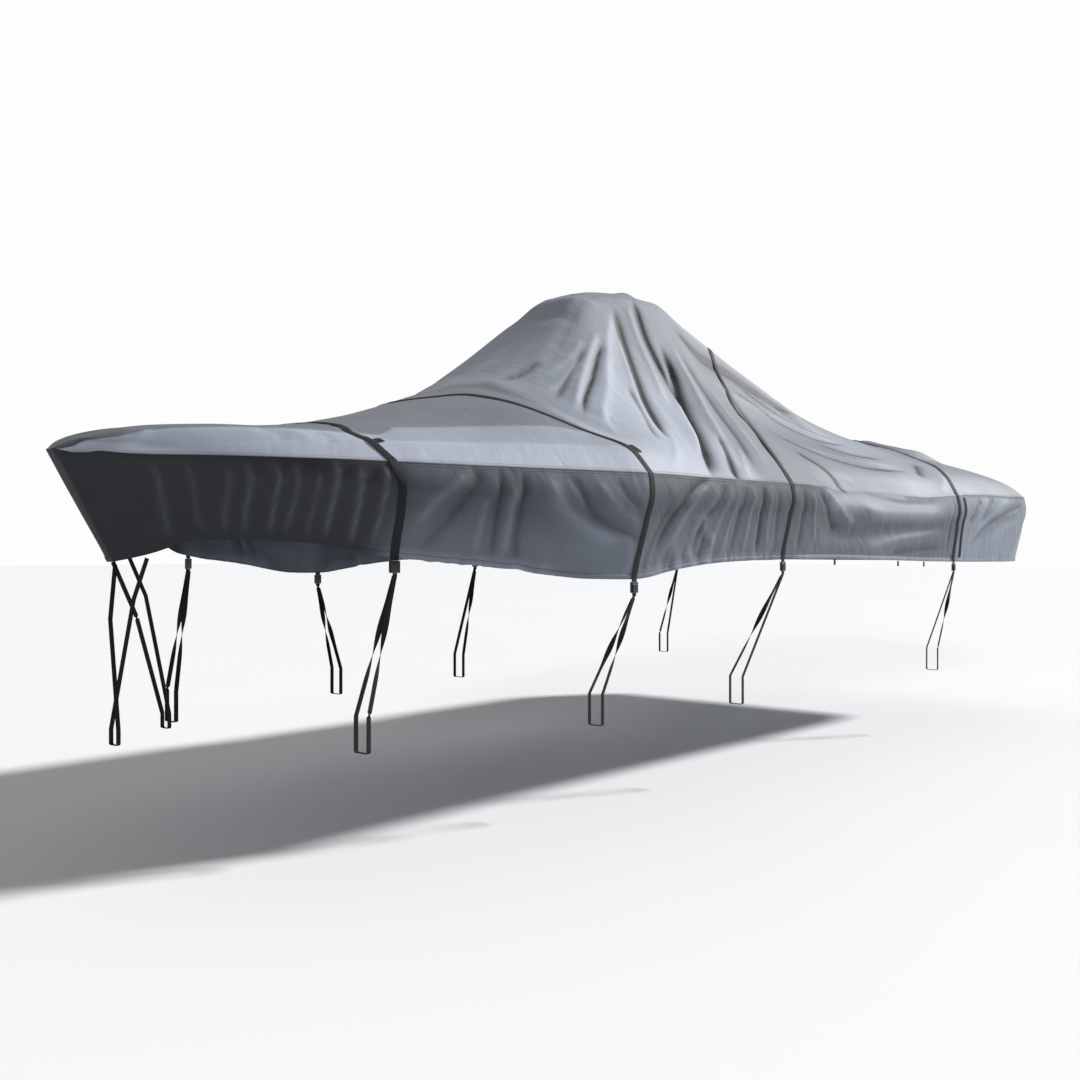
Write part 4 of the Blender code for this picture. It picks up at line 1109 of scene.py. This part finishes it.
    def _panel(
        self, name: str, slot: str, finish: Material, grid: tuple[np.ndarray, ...], painted_light: np.ndarray
    ) -> Object:
        """Args:
            name: its CAD node.
            slot: its material slot.
            finish: its material.
            grid: the stations of its points, their places across the top, and those down the skirt.
            painted_light: the painted light and shade at each.

        Returns:
            The panel.
        """
        hem = slot == "cloth_skirt"
        seams = "top left right" if hem else "left right"
        piece = ClothMesh(name + "_cloth", self.shape, self.folds).build(*grid, painted_light, seams, hem)
        piece.data.materials.append(finish)
        seat(piece, name)
        log.info("%s: %d faces", piece.name, len(piece.data.polygons))
        return piece

    def build(self, top: Material, skirt: Material) -> list[Object]:
        """Make the five panels.

        Args:
            top: the material of the foredeck and console panels.
            skirt: the material of the skirts and the transom.

        Returns:
            The panels.
        """
        length = self.shape.length
        panels = []
        for name, rows, runs in (
            ("foredeck_panel", self.fore_rows, self.fore_half), ("console_panel", self.aft_rows, self.aft_half),
        ):
            half = self._steps(runs)
            over = np.concatenate([-half[:0:-1], half])
            aft, across = np.meshgrid(np.minimum(self._steps(rows), length), over, indexing="ij")
            grid = (aft, across, np.zeros_like(aft))
            panels.append(self._panel(name, "cloth_top", top, grid, self._top_painted_light(aft, across)))
        down = self._steps(self.skirt_rows)
        along = np.linspace(0.0, length, int(length / self.skirt_step))
        bow = np.linspace(0.0, 1.0, 8)[:-1]
        stern = np.linspace(-1.0, 1.0, 160)
        routes = {
            "skirt_port": ([0 * bow, along], [-bow, -np.ones_like(along)]),
            "skirt_starboard": ([along[::-1], 0 * bow], [np.ones_like(along), bow[::-1]]),
            "transom_panel": ([np.full_like(stern, length)], [stern]),
        }
        for name, (rim_aft, rim_across) in routes.items():
            fall, aft = np.meshgrid(down, np.concatenate(rim_aft), indexing="ij")
            across = np.broadcast_to(np.concatenate(rim_across), aft.shape)
            painted_light = np.full_like(aft, self.transom_painted_light) if name == "transom_panel" else self._skirt_painted_light(aft, fall)
            panels.append(self._panel(name, "cloth_skirt", skirt, (aft, across, fall), painted_light))
        return panels


# --- webbing --------------------------------------------------------------------------------------------------------


@dataclass
class Web:
    """A length of flat webbing with soft edges, made along a line of points."""

    name: str
    width: float = 0.025
    thick: float = 0.002
    edge: float = 0.0022

    def build(self, path: np.ndarray, facings: np.ndarray, finish: Material) -> Object:
        """Make the web as a closed mesh.

        Args:
            path: the middle of the web, point by point.
            facings: the way that its outer face looks at each point.
            finish: its material.

        Returns:
            The finished object.
        """
        ahead = unit(np.gradient(path, axis=0))
        facings = unit(facings - np.einsum("pk,pk->p", facings, ahead)[:, None] * ahead)
        across = np.cross(ahead, facings)
        half, lip = self.width / 2, self.width / 2 - self.edge
        ring = [(-half, 0.3), (-lip, 1.0), (0.0, 1.12), (lip, 1.0), (half, 0.3),
                (half, -0.3), (lip, -1.0), (0.0, -1.0), (-lip, -1.0), (-half, -0.3)]
        points = np.stack([path + out * across + rise * self.thick / 2 * facings for out, rise in ring], axis=1)
        count, sides = points.shape[:2]
        index = np.arange(count * sides).reshape(count, sides)
        after = np.roll(index, -1, axis=1)
        walls = np.stack([index[:-1], index[1:], after[1:], after[:-1]], axis=2).reshape(-1, 4)
        faces = walls.tolist() + [index[0].tolist(), index[-1][::-1].tolist()]
        mesh = bpy.data.meshes.new(self.name)
        mesh.from_pydata(points.reshape(-1, 3).tolist(), [], faces)
        body = bmesh.new()
        body.from_mesh(mesh)
        bmesh.ops.recalc_face_normals(body, faces=body.faces)
        body.to_mesh(mesh)
        body.free()
        spans = np.concatenate([[0.0], np.cumsum(np.linalg.norm(np.diff(path, axis=0), axis=1))])
        flat = np.stack(np.broadcast_arrays(spans[:, None], np.array([out for out, _ in ring])), axis=2)
        add_uv(mesh, "web", flat.reshape(-1, 2))
        mesh.materials.append(finish)
        return add_mesh(mesh, crease=40)


@dataclass
class StrapPlan:
    """Where one strap crosses the ridge, hip, waist, rail and seam, as stations, and where it reaches the hem."""

    number: int
    crossings: tuple[float, float, float, float, float]
    hem: float
    rail: tuple[float, float]
    tail: tuple[float, float, float] | None


@dataclass
class Webbing:
    """The four straps with their tails, the ties under their buckles, the bow ties and the hem tabs."""

    shape: CoverShape
    panels: list[Object]
    finish: Material
    plans: tuple[StrapPlan, ...] = (
        StrapPlan(1, (1.17, 1.08, 0.98, 0.99, 1.02), 1.13, (1.00, 0.7125), (0.043, 0.80, 0.86)),
        StrapPlan(2, (2.05, 2.11, 2.25, 2.33, 2.34), 2.34, (2.27, 0.9700), (0.043, 0.82, 0.88)),
        StrapPlan(3, (4.75, 4.60, 4.24, 3.85, 3.71), 3.72, (3.41, 1.0700), None),
        StrapPlan(4, (6.98, 6.93, 6.80, 6.39, 6.14), 6.20, (5.93, 1.1500), (0.105, 1.04, 1.93)),
    )
    knots: tuple[float, ...] = (0.0, 0.30, 0.62, 0.86, 1.0)
    strap_width: float = 0.038
    tie_width: float = 0.025
    clear: float = 0.0022
    hem_clear: float = 0.0075
    hem_drop: float = 0.012
    buckle_tall: float = 0.052
    touch_gap: float = 0.0005
    legs_apart: float = 0.005
    straight: float = 0.012
    rail_top: float = 0.58
    rail_floor: float = 0.43
    rail_width: float = 0.075
    loop_clear: float = 0.0015
    loop_radius: float = 0.008
    tab_stations: tuple[float, ...] = (4.37, 5.27, 5.69)
    bow_width: float = 0.020
    bow_rail: tuple[float, float, float] = (0.56, 0.50, 0.05)
    tree: BVHTree = field(init=False)

    def __post_init__(self) -> None:
        """Gather the cloth in one tree, so that webbing can be laid on it."""
        points: list[Vector] = []
        faces: list[list[int]] = []
        for panel in self.panels:
            first = len(points)
            points += [vertex.co.copy() for vertex in panel.data.vertices]
            faces += [[first + k for k in face.vertices] for face in panel.data.polygons]
        self.tree = BVHTree.FromPolygons(points, faces)

    def _station(self, plan: StrapPlan, share: np.ndarray) -> np.ndarray:
        """Read the station that a strap passes at each share of one side.

        Args:
            plan: the strap.
            share: the shares to read.

        Returns:
            The station at each.
        """
        crossings = np.array(plan.crossings)[:, None, None]
        over = smooth(np.array(self.knots), crossings, np.minimum(share, 1.0))[:, 0]
        return over + (plan.hem - plan.crossings[-1]) * np.maximum(share - 1.0, 0.0)

    def _facings(self, side: Side, aft: np.ndarray, share: np.ndarray) -> np.ndarray:
        """Find the way that the smooth cover faces at places on one side.

        Args:
            side: the side.
            aft: the stations of the places.
            share: their shares.

        Returns:
            The outward direction at each.
        """
        step = 0.012
        low = np.where(share > 1, np.maximum(share - step, 1.0), share - step)
        high = np.where(share > 1, np.minimum(share + step, 2.0), np.minimum(share + step, 1.0))
        low = np.maximum(low, 0.0)
        over = self.shape.on_side(side, aft, high) - self.shape.on_side(side, aft, low)
        along = self.shape.on_side(side, aft + step, share) - self.shape.on_side(side, aft - step, share)
        facings = np.cross(along, over)
        places = self.shape.on_side(side, aft, share)
        return unit(facings * np.sign(np.einsum("pk,pk->p", facings, self.shape.outward(places)))[:, None])

    def _lay(self, path: np.ndarray, facings: np.ndarray, width: float) -> np.ndarray:
        """Lift a path off the folded cloth, bridging its narrow hollows as a tight web does.

        Args:
            path: points of the smooth cover.
            facings: the way that it faces there.
            width: the web's width.

        Returns:
            The path of the web's middle.
        """
        reach = 0.16
        across = unit(np.cross(np.gradient(path, axis=0), facings))
        heights = np.empty(len(path))
        for k, (point, facing, side) in enumerate(zip(path, facings, across)):
            found = []
            for offset in (-0.5, 0.0, 0.5):
                start = Vector(point + offset * width * side + reach * facing)
                hit = self.tree.ray_cast(start, Vector(-facing), 2 * reach)
                if hit[0] is not None:
                    found.append(reach - hit[3])
            heights[k] = max(found) if found else heights[max(k - 1, 0)]
        padded = np.pad(heights, 2, mode="edge")
        tops = np.max([padded[k : k + len(heights)] for k in range(5)], axis=0)
        tops = np.pad(tops, 1, mode="edge")
        level = np.maximum(np.mean([tops[k : k + len(heights)] for k in range(3)], axis=0), heights)
        return path + (level + self.clear)[:, None] * facings

    def hem_facing(self, plan: StrapPlan, side: Side) -> np.ndarray:
        """Find the way, level, that the hem faces where a strap ends.

        Args:
            plan: the strap.
            side: the side.

        Returns:
            The level direction away from the boat.
        """
        places = self.shape.on_side(side, plan.hem + np.array([-0.01, 0.01]), np.full(2, 2.0))
        along = places[1] - places[0]
        return side.value * np.array([-along[1], along[0], 0.0]) / math.hypot(along[0], along[1])

    def _hem_end(self, plan: StrapPlan, side: Side) -> np.ndarray:
        """Find where a strap ends below the hem, outside it."""
        hem = self.shape.on_side(side, np.array([plan.hem]), np.array([2.0]))[0]
        return hem + self.hem_clear * self.hem_facing(plan, side) - np.array([0.0, 0.0, self.hem_drop])

    def buckle_top(self, plan: StrapPlan, side: Side) -> np.ndarray:
        """Find the middle of a buckle's upper face."""
        return self._hem_end(plan, side) - np.array([0.0, 0.0, self.touch_gap])

    def strap(self, plan: StrapPlan) -> Object:
        """Make one strap, from its port buckle over the cover to its starboard one.

        Args:
            plan: the strap.

        Returns:
            The strap.
        """
        shares = np.concatenate([np.linspace(0.0, 1.0, 76), 1 + np.linspace(0.02, 0.975, 24)])
        halves = {}
        for side in Side:
            aft = self._station(plan, shares)
            halves[side] = (self.shape.on_side(side, aft, shares), self._facings(side, aft, shares))
        path = np.concatenate([halves[Side.PORT][0][::-1], halves[Side.STARBOARD][0][1:]])
        facings = np.concatenate([halves[Side.PORT][1][::-1], halves[Side.STARBOARD][1][1:]])
        padded = np.pad(facings, ((2, 2), (0, 0)), mode="edge")
        facings = unit(np.mean([padded[k : k + len(path)] for k in range(5)], axis=0))
        path = self._lay(path, facings, self.strap_width)
        rise = np.array([0.0, 0.0, 0.7 * self.hem_drop])
        port, starboard = self._hem_end(plan, Side.PORT), self._hem_end(plan, Side.STARBOARD)
        path = np.concatenate([[port, port + rise], path, [starboard + rise, starboard]])
        ends = [[self.hem_facing(plan, side)] * 2 for side in Side]
        facings = np.concatenate([ends[0], facings, ends[1]])
        made = Web(f"strap_{plan.number}_web", self.strap_width).build(path, facings, self.finish)
        seat(made, f"strap_{plan.number}")
        return made

    def tail(self, plan: StrapPlan, side: Side) -> Object:
        """Make the free end of a strap, which lies on the cloth just aft of it.

        Args:
            plan: the strap.
            side: the side.

        Returns:
            The free end.
        """
        behind, start, end = plan.tail
        shares = np.linspace(start, end, 40 if end > 1 else 10)
        aft = self._station(plan, shares) + behind
        if end > 1:
            aft = aft + 0.012 * np.sin(np.linspace(0, 2.6 * np.pi, len(shares))) * np.linspace(0.2, 1, len(shares))
        path = self.shape.on_side(side, aft, shares)
        facings = self._facings(side, aft, shares)
        path = self._lay(path, facings, self.strap_width)
        name = f"strap_{plan.number}_tail_{side.label}"
        made = Web(name + "_web", self.strap_width).build(path, facings, self.finish)
        seat(made, name)
        return made

    def _loop(self, aft: float, out: float, side: Side, rail: tuple[float, float, float]) -> np.ndarray:
        """Find the way of a web round a rail, from its outer top edge under it to its inner top edge.

        Args:
            aft: the station of the web.
            out: how far out the middle of the rail is.
            side: the side.
            rail: the rail's top and underside above the ground, and its width.

        Returns:
            The points of the way.
        """
        top, floor, width = rail
        reach = width / 2 + self.loop_clear + 0.001
        low = floor - self.loop_clear - 0.001
        radius = self.loop_radius
        places = [(out + reach, top - part * (top - low - radius)) for part in (0.0, 0.35, 0.7)]
        for sign, first in ((1, 0.0), (-1, math.pi / 2)):
            for step in range(7):
                angle = first + math.pi / 2 * step / 6
                places.append(
                    (out + sign * (reach - radius) + radius * math.cos(angle), low + radius - radius * math.sin(angle))
                )
        places += [(out - reach, top - part * (top - low - radius)) for part in (0.7, 0.35, 0.0)]
        return np.array([(aft, side.value * at, up) for at, up in places]) - self.shape.origin

    def _tie(
        self, name: str, outer: np.ndarray, inner: np.ndarray, loop: np.ndarray, width: float, twists: tuple[int, int]
    ) -> Object:
        """Make a tie: down its outer leg, round the rail and up its inner leg.

        Args:
            name: the CAD node that it stands for.
            outer: the outer leg's points, top first.
            inner: the inner leg's points, top first.
            loop: its way round the rail.
            width: the web's width.
            twists: how many half turns each leg takes on its way.

        Returns:
            The tie.
        """

        def leg(points: np.ndarray, foot: np.ndarray) -> np.ndarray:
            """Space a leg's points evenly from its top to the rail.

            Args:
                points: the leg's first points.
                foot: where it meets the rail.

            Returns:
                The points.
            """
            long = np.linspace(0.0, 1.0, 30)[1:-1, None]
            return np.concatenate([points, points[-1] + long * (foot - points[-1])])

        down, up = leg(outer, loop[0]), leg(inner, loop[-1])[::-1]
        path = np.concatenate([down, loop, up])
        middle = loop.mean(axis=0)
        ahead = unit(np.gradient(path, axis=0))
        facings = np.cross(np.array([1.0, 0.0, 0.0]), ahead)
        away = path - np.array([0.0, middle[1], middle[2]])
        away[:, 0] = 0
        facings = unit(facings * np.sign(np.einsum("pk,pk->p", facings, away))[:, None])
        turn = np.zeros(len(path))
        for start, count, half_turns in ((0, len(down), twists[0]), (len(down) + len(loop), len(up), twists[1])):
            part = ease(np.linspace(0.0, 1.0, count), 0.2, 0.8)
            turn[start : start + count] = math.pi * half_turns * part
        across = np.cross(ahead, facings)
        facings = np.cos(turn)[:, None] * facings + np.sin(turn)[:, None] * across
        made = Web(name + "_web", width=width).build(path, facings, self.finish)
        seat(made, name)
        return made

    def tie(self, plan: StrapPlan, side: Side) -> Object:
        """Make the tie from a buckle round the trailer's rail and back.

        Args:
            plan: the strap over it.
            side: the side.

        Returns:
            The tie.
        """
        drop = np.array([0.0, 0.0, self.buckle_tall + self.touch_gap])
        bottom = self.buckle_top(plan, side) - drop
        rail = (self.rail_top, self.rail_floor, self.rail_width)
        loop = self._loop(*plan.rail, side, rail)
        apart = np.array([0.0, side.value * self.legs_apart / 2, 0.0])
        below = bottom - np.array([0.0, 0.0, self.straight])
        twists = {1: (1, 1), 2: (1, -1), 3: (0, 1), 4: (1, 0)}[plan.number]
        return self._tie(
            f"tie_{plan.number}_{side.label}", np.array([bottom + apart, below + apart]),
            np.array([bottom - apart, below - apart]), loop, self.tie_width, twists,
        )

    def bow_tie(self, side: Side) -> Object:
        """Make a bow tie: two legs from the hem that go round the trailer's tongue.

        Args:
            side: the side on which it starts.

        Returns:
            The tie.
        """
        legs = {
            Side.PORT: (
                (0.270, 0.020, 1.222), (0.225, 0.060, 1.000), (0.360, 0.112, 1.248), (0.300, 0.110, 1.080),
            ),
            Side.STARBOARD: (
                (0.300, 0.050, 1.232), (0.420, 0.070, 1.000), (0.440, 0.190, 1.288), (0.520, 0.160, 1.080),
            ),
        }[side]
        places = np.array([(aft, side.value * out, up) for aft, out, up in legs]) - self.shape.origin
        aft, out = {Side.PORT: (0.21, 0.12), Side.STARBOARD: (0.60, 0.13)}[side]
        loop = self._loop(aft, out, side, self.bow_rail)
        return self._tie(f"bow_tie_{side.label}", places[:2], places[2:], loop, self.bow_width, (0, 0))

    def tab(self, number: int, aft: float, side: Side) -> Object:
        """Make a webbing tab, folded under the hem as a loop for a hook.

        Args:
            number: its number, from the bow.
            aft: its station.
            side: the side.

        Returns:
            The tab.
        """
        hem = self.shape.on_side(side, np.array([aft]), np.array([2.0]))[0]
        top, drop, half = 0.003, 0.036, 0.0012
        bend = [(half * math.cos(turn), -drop - half * math.sin(turn)) for turn in np.linspace(0, math.pi, 9)]
        outline = [(half, -top - part * (drop - top)) for part in np.linspace(0, 0.94, 8)]
        outline += bend + [(-half, low) for _, low in outline[::-1]]
        path = np.array([hem + (0.0, side.value * out, up) for out, up in outline])
        ahead = np.gradient(path, axis=0)
        facings = np.cross(np.array([1.0, 0.0, 0.0]), ahead)
        facings *= side.value * np.sign(facings[0, 1])
        name = f"hem_tab_{number}_{side.label}"
        made = Web(name + "_web", width=0.021, thick=0.0014).build(path, facings, self.finish)
        seat(made, name)
        return made

    def build(self) -> None:
        """Make all the webbing."""
        for plan in self.plans:
            log.info("%s", self.strap(plan).name)
            for side in Side:
                if plan.tail:
                    log.info("%s", self.tail(plan, side).name)
                log.info("%s", self.tie(plan, side).name)
        for side in Side:
            log.info("%s", self.bow_tie(side).name)
            for number, aft in enumerate(self.tab_stations, start=1):
                log.info("%s", self.tab(number, aft, side).name)


# --- buckles --------------------------------------------------------------------------------------------------------


@dataclass
class CamBuckle:
    """A closed cam buckle: a tray-shaped frame, its ribbed lever, the lever's pin and the two web bars."""

    webbing: Webbing
    finish: Material
    size: tuple[float, float, float] = (0.048, 0.012, 0.052)
    wall: float = 0.0045
    tray: float = 0.0035
    lever: tuple[float, float, float] = (0.036, 0.006, 0.038)
    lever_rise: float = 0.0060
    pin_radius: float = 0.0026
    bar_radius: float = 0.0018
    rib_pitch: float = 0.0034
    corner: float = 0.0018

    def _block(self, size: tuple[float, float, float], at: tuple[float, float, float]) -> Object:
        """Add a block at its size and place.

        Args:
            size: its size.
            at: its middle.

        Returns:
            The block.
        """
        deselect_all()
        bpy.ops.mesh.primitive_cube_add(size=1.0, location=at)
        block = bpy.context.object
        block.scale = size
        bpy.ops.object.transform_apply(location=True, rotation=True, scale=True)
        return block

    def _rod(self, radius: float, length: float, at: tuple[float, float, float]) -> Object:
        """Add a rod that lies across the buckle, its ends bevelled.

        Args:
            radius: its radius.
            length: its length.
            at: its middle.

        Returns:
            The rod.
        """
        deselect_all()
        bpy.ops.mesh.primitive_cylinder_add(
            vertices=20, radius=radius, depth=length, location=at, rotation=(0.0, math.pi / 2, 0.0)
        )
        rod = bpy.context.object
        bpy.ops.object.transform_apply(location=True, rotation=True, scale=True)
        self._round(rod, radius * 0.25)
        return rod

    def _round(self, piece: Object, width: float) -> None:
        """Bevel a piece's sharp edges.

        Args:
            piece: the piece.
            width: the bevel's width.
        """
        bevel = piece.modifiers.new("rounded", "BEVEL")
        bevel.width, bevel.segments, bevel.limit_method = width, 3, "ANGLE"
        bpy.context.view_layer.objects.active = piece
        bpy.ops.object.modifier_apply(modifier=bevel.name)

    def _inset_front(self, piece: Object, thickness: float, depth: float) -> None:
        """Inset a block's outer face and push it in or out.

        Args:
            piece: the block.
            thickness: how far in the new edge lies.
            depth: how far the face moves.
        """
        bpy.context.view_layer.objects.active = piece
        bpy.ops.object.mode_set(mode="EDIT")
        bpy.ops.mesh.select_all(action="DESELECT")
        body = bmesh.from_edit_mesh(piece.data)
        front = min(body.faces, key=lambda face: face.calc_center_median().y)
        front.select_set(True)
        body.select_flush_mode()
        bmesh.update_edit_mesh(piece.data)
        bpy.ops.mesh.inset(thickness=thickness, depth=depth)
        bpy.ops.object.mode_set(mode="OBJECT")

    def model(self) -> Object:
        """Model one buckle with the middle of its upper face at the origin, its lever to port.

        Returns:
            The buckle.
        """
        wide, deep, tall = self.size
        body = self._block(self.size, (0.0, 0.0, -tall / 2))
        self._inset_front(body, self.wall, -self.tray)
        self._round(body, self.corner)
        lever = self._block(self.lever, (0.0, -deep / 2 + self.tray - self.lever_rise / 2 - 0.0004, -tall * 0.56))
        self._inset_front(lever, 0.003, 0.0008)
        self._round(lever, 0.0010)
        face = -deep / 2 - 0.0018
        parts = [body, lever, self._rod(self.pin_radius, wide + 0.0014, (0.0, -0.0022, -tall * 0.22))]
        for end in (-0.08, -0.92):
            parts.append(self._rod(self.bar_radius, wide - 2 * self.wall, (0.0, -deep / 2 + 0.001, tall * end)))
        for step in range(4):
            at = (0.0, face, -tall * 0.66 - step * self.rib_pitch)
            parts.append(self._rod(0.0009, self.lever[0] * 0.7, at))
        deselect_all()
        for part in parts:
            part.select_set(True)
        bpy.context.view_layer.objects.active = body
        bpy.ops.object.join()
        bpy.ops.object.shade_smooth_by_angle(angle=math.radians(35))
        body.data.materials.append(self.finish)
        return body

    def build(self) -> None:
        """Copy the buckle to each end of each strap."""
        pattern = self.model()
        for plan in self.webbing.plans:
            for side in Side:
                name = f"buckle_{plan.number}_{side.label}"
                facing = self.webbing.hem_facing(plan, side)
                turn = Matrix.Rotation(math.atan2(facing[0], -facing[1]), 4, "Z")
                mesh = pattern.data.copy()
                mesh.transform(Matrix.Translation(Vector(self.webbing.buckle_top(plan, side))) @ turn)
                made = bpy.data.objects.new(name + "_moulding", mesh)
                bpy.context.scene.collection.objects.link(made)
                seat(made, name)
                log.info("%s", made.name)
        bpy.data.objects.remove(pattern)


# --- studio ---------------------------------------------------------------------------------------------------------


@dataclass
class Studio:
    """A pale floor, soft lights from above on the port quarter, and the camera off the port bow."""

    floor_up: float
    eye: tuple[float, float, float] = (-5.956, -4.594, -1.583)
    heading: float = -49.6
    lens: float = 40.0
    lens_rise: float = 0.0074
    floor_side: float = 160.0
    key_from: tuple[float, float, float] = (0.74, -0.36, 0.57)
    key_spread: float = 6.0
    key_power: float = 4.4
    fill_from: tuple[float, float, float] = (0.30, 0.40, 0.87)
    fill_spread: float = 60.0
    fill_power: float = 0.30
    bow_from: tuple[float, float, float] = (-0.86, -0.42, 0.28)
    bow_spread: float = 8.0
    bow_power: float = 0.75
    sky: float = 0.20

    def build(self) -> None:
        """Set the camera, the lights, the backdrop and the floor."""
        camera = bpy.data.cameras.new("camera")
        camera.lens, camera.sensor_width, camera.shift_y = self.lens, 36.0, self.lens_rise
        camera.clip_end = 400.0
        stand = bpy.data.objects.new("camera", camera)
        stand.location = self.eye
        stand.rotation_euler = (math.pi / 2, 0.0, math.radians(self.heading))
        bpy.context.scene.collection.objects.link(stand)
        bpy.context.scene.camera = stand
        bpy.context.scene.view_settings.view_transform = "Standard"
        for name, way, spread, power in (
            ("key_light", self.key_from, self.key_spread, self.key_power),
            ("top_light", self.fill_from, self.fill_spread, self.fill_power),
            ("bow_light", self.bow_from, self.bow_spread, self.bow_power),
        ):
            lamp = bpy.data.lights.new(name, "SUN")
            lamp.angle, lamp.energy = math.radians(spread), power
            hung = bpy.data.objects.new(name, lamp)
            hung.rotation_euler = Vector(way).to_track_quat("Z", "Y").to_euler()
            bpy.context.scene.collection.objects.link(hung)
        self._backdrop()
        deselect_all()
        bpy.ops.mesh.primitive_plane_add(size=self.floor_side, location=(0.0, 0.0, self.floor_up))
        floor = bpy.context.object
        floor.name = "studio_floor"
        bpy.ops.object.transform_apply(location=True, rotation=True, scale=True)
        floor.data.materials.append(PaleFloor().material())
        log.info("studio: camera, lights and floor")

    def _backdrop(self) -> None:
        """Make the surroundings: a low even light, with a white backdrop behind the object."""
        world = bpy.data.worlds.new("studio")
        world.use_nodes = True
        tree = world.node_tree
        tree.nodes.clear()
        seen = add_node(tree, "LightPath").outputs["Is Camera Ray"]
        around = add_node(tree, "Background", {"Color": linear("#f2f4f7"), "Strength": self.sky})
        behind = add_node(tree, "Background", {"Color": linear("#fdfdfd"), "Strength": 1.0})
        shaders = {0: seen, 1: around.outputs["Background"], 2: behind.outputs["Background"]}
        mixed = add_node(tree, "MixShader", shaders)
        add_node(tree, "OutputWorld", {"Surface": mixed.outputs["Shader"]})
        bpy.context.scene.world = world


def main() -> None:
    """Build the cover and its studio in order."""
    logging.basicConfig(level=logging.INFO, format="%(message)s")
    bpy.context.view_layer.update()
    shape = CoverShape()
    Studio(floor_up=-float(shape.origin[2])).build()
    folds = Folds(shape)
    # each cloth's two colours are its full painted shade and its full painted light; the skirt's pair is a little
    # darker, as painted shade
    top = MarineCloth("marine_cloth_top", "#15181e", "#a2a9b6", crumple_mm=5.0, crumple_run=(0.4, 1.0, 1.0))
    skirt = MarineCloth("marine_cloth_skirt", "#12151c", "#99a3b3", crumple_mm=6.0, crumple_run=(1.0, 0.4, 1.0))
    panels = ClothPanels(shape, folds).build(top.material(), skirt.material())
    webbing = Webbing(shape, panels, PolypropyleneWebbing().material())
    webbing.build()
    CamBuckle(webbing, MouldedAcetal().material()).build()


if __name__ == "__main__":
    main()
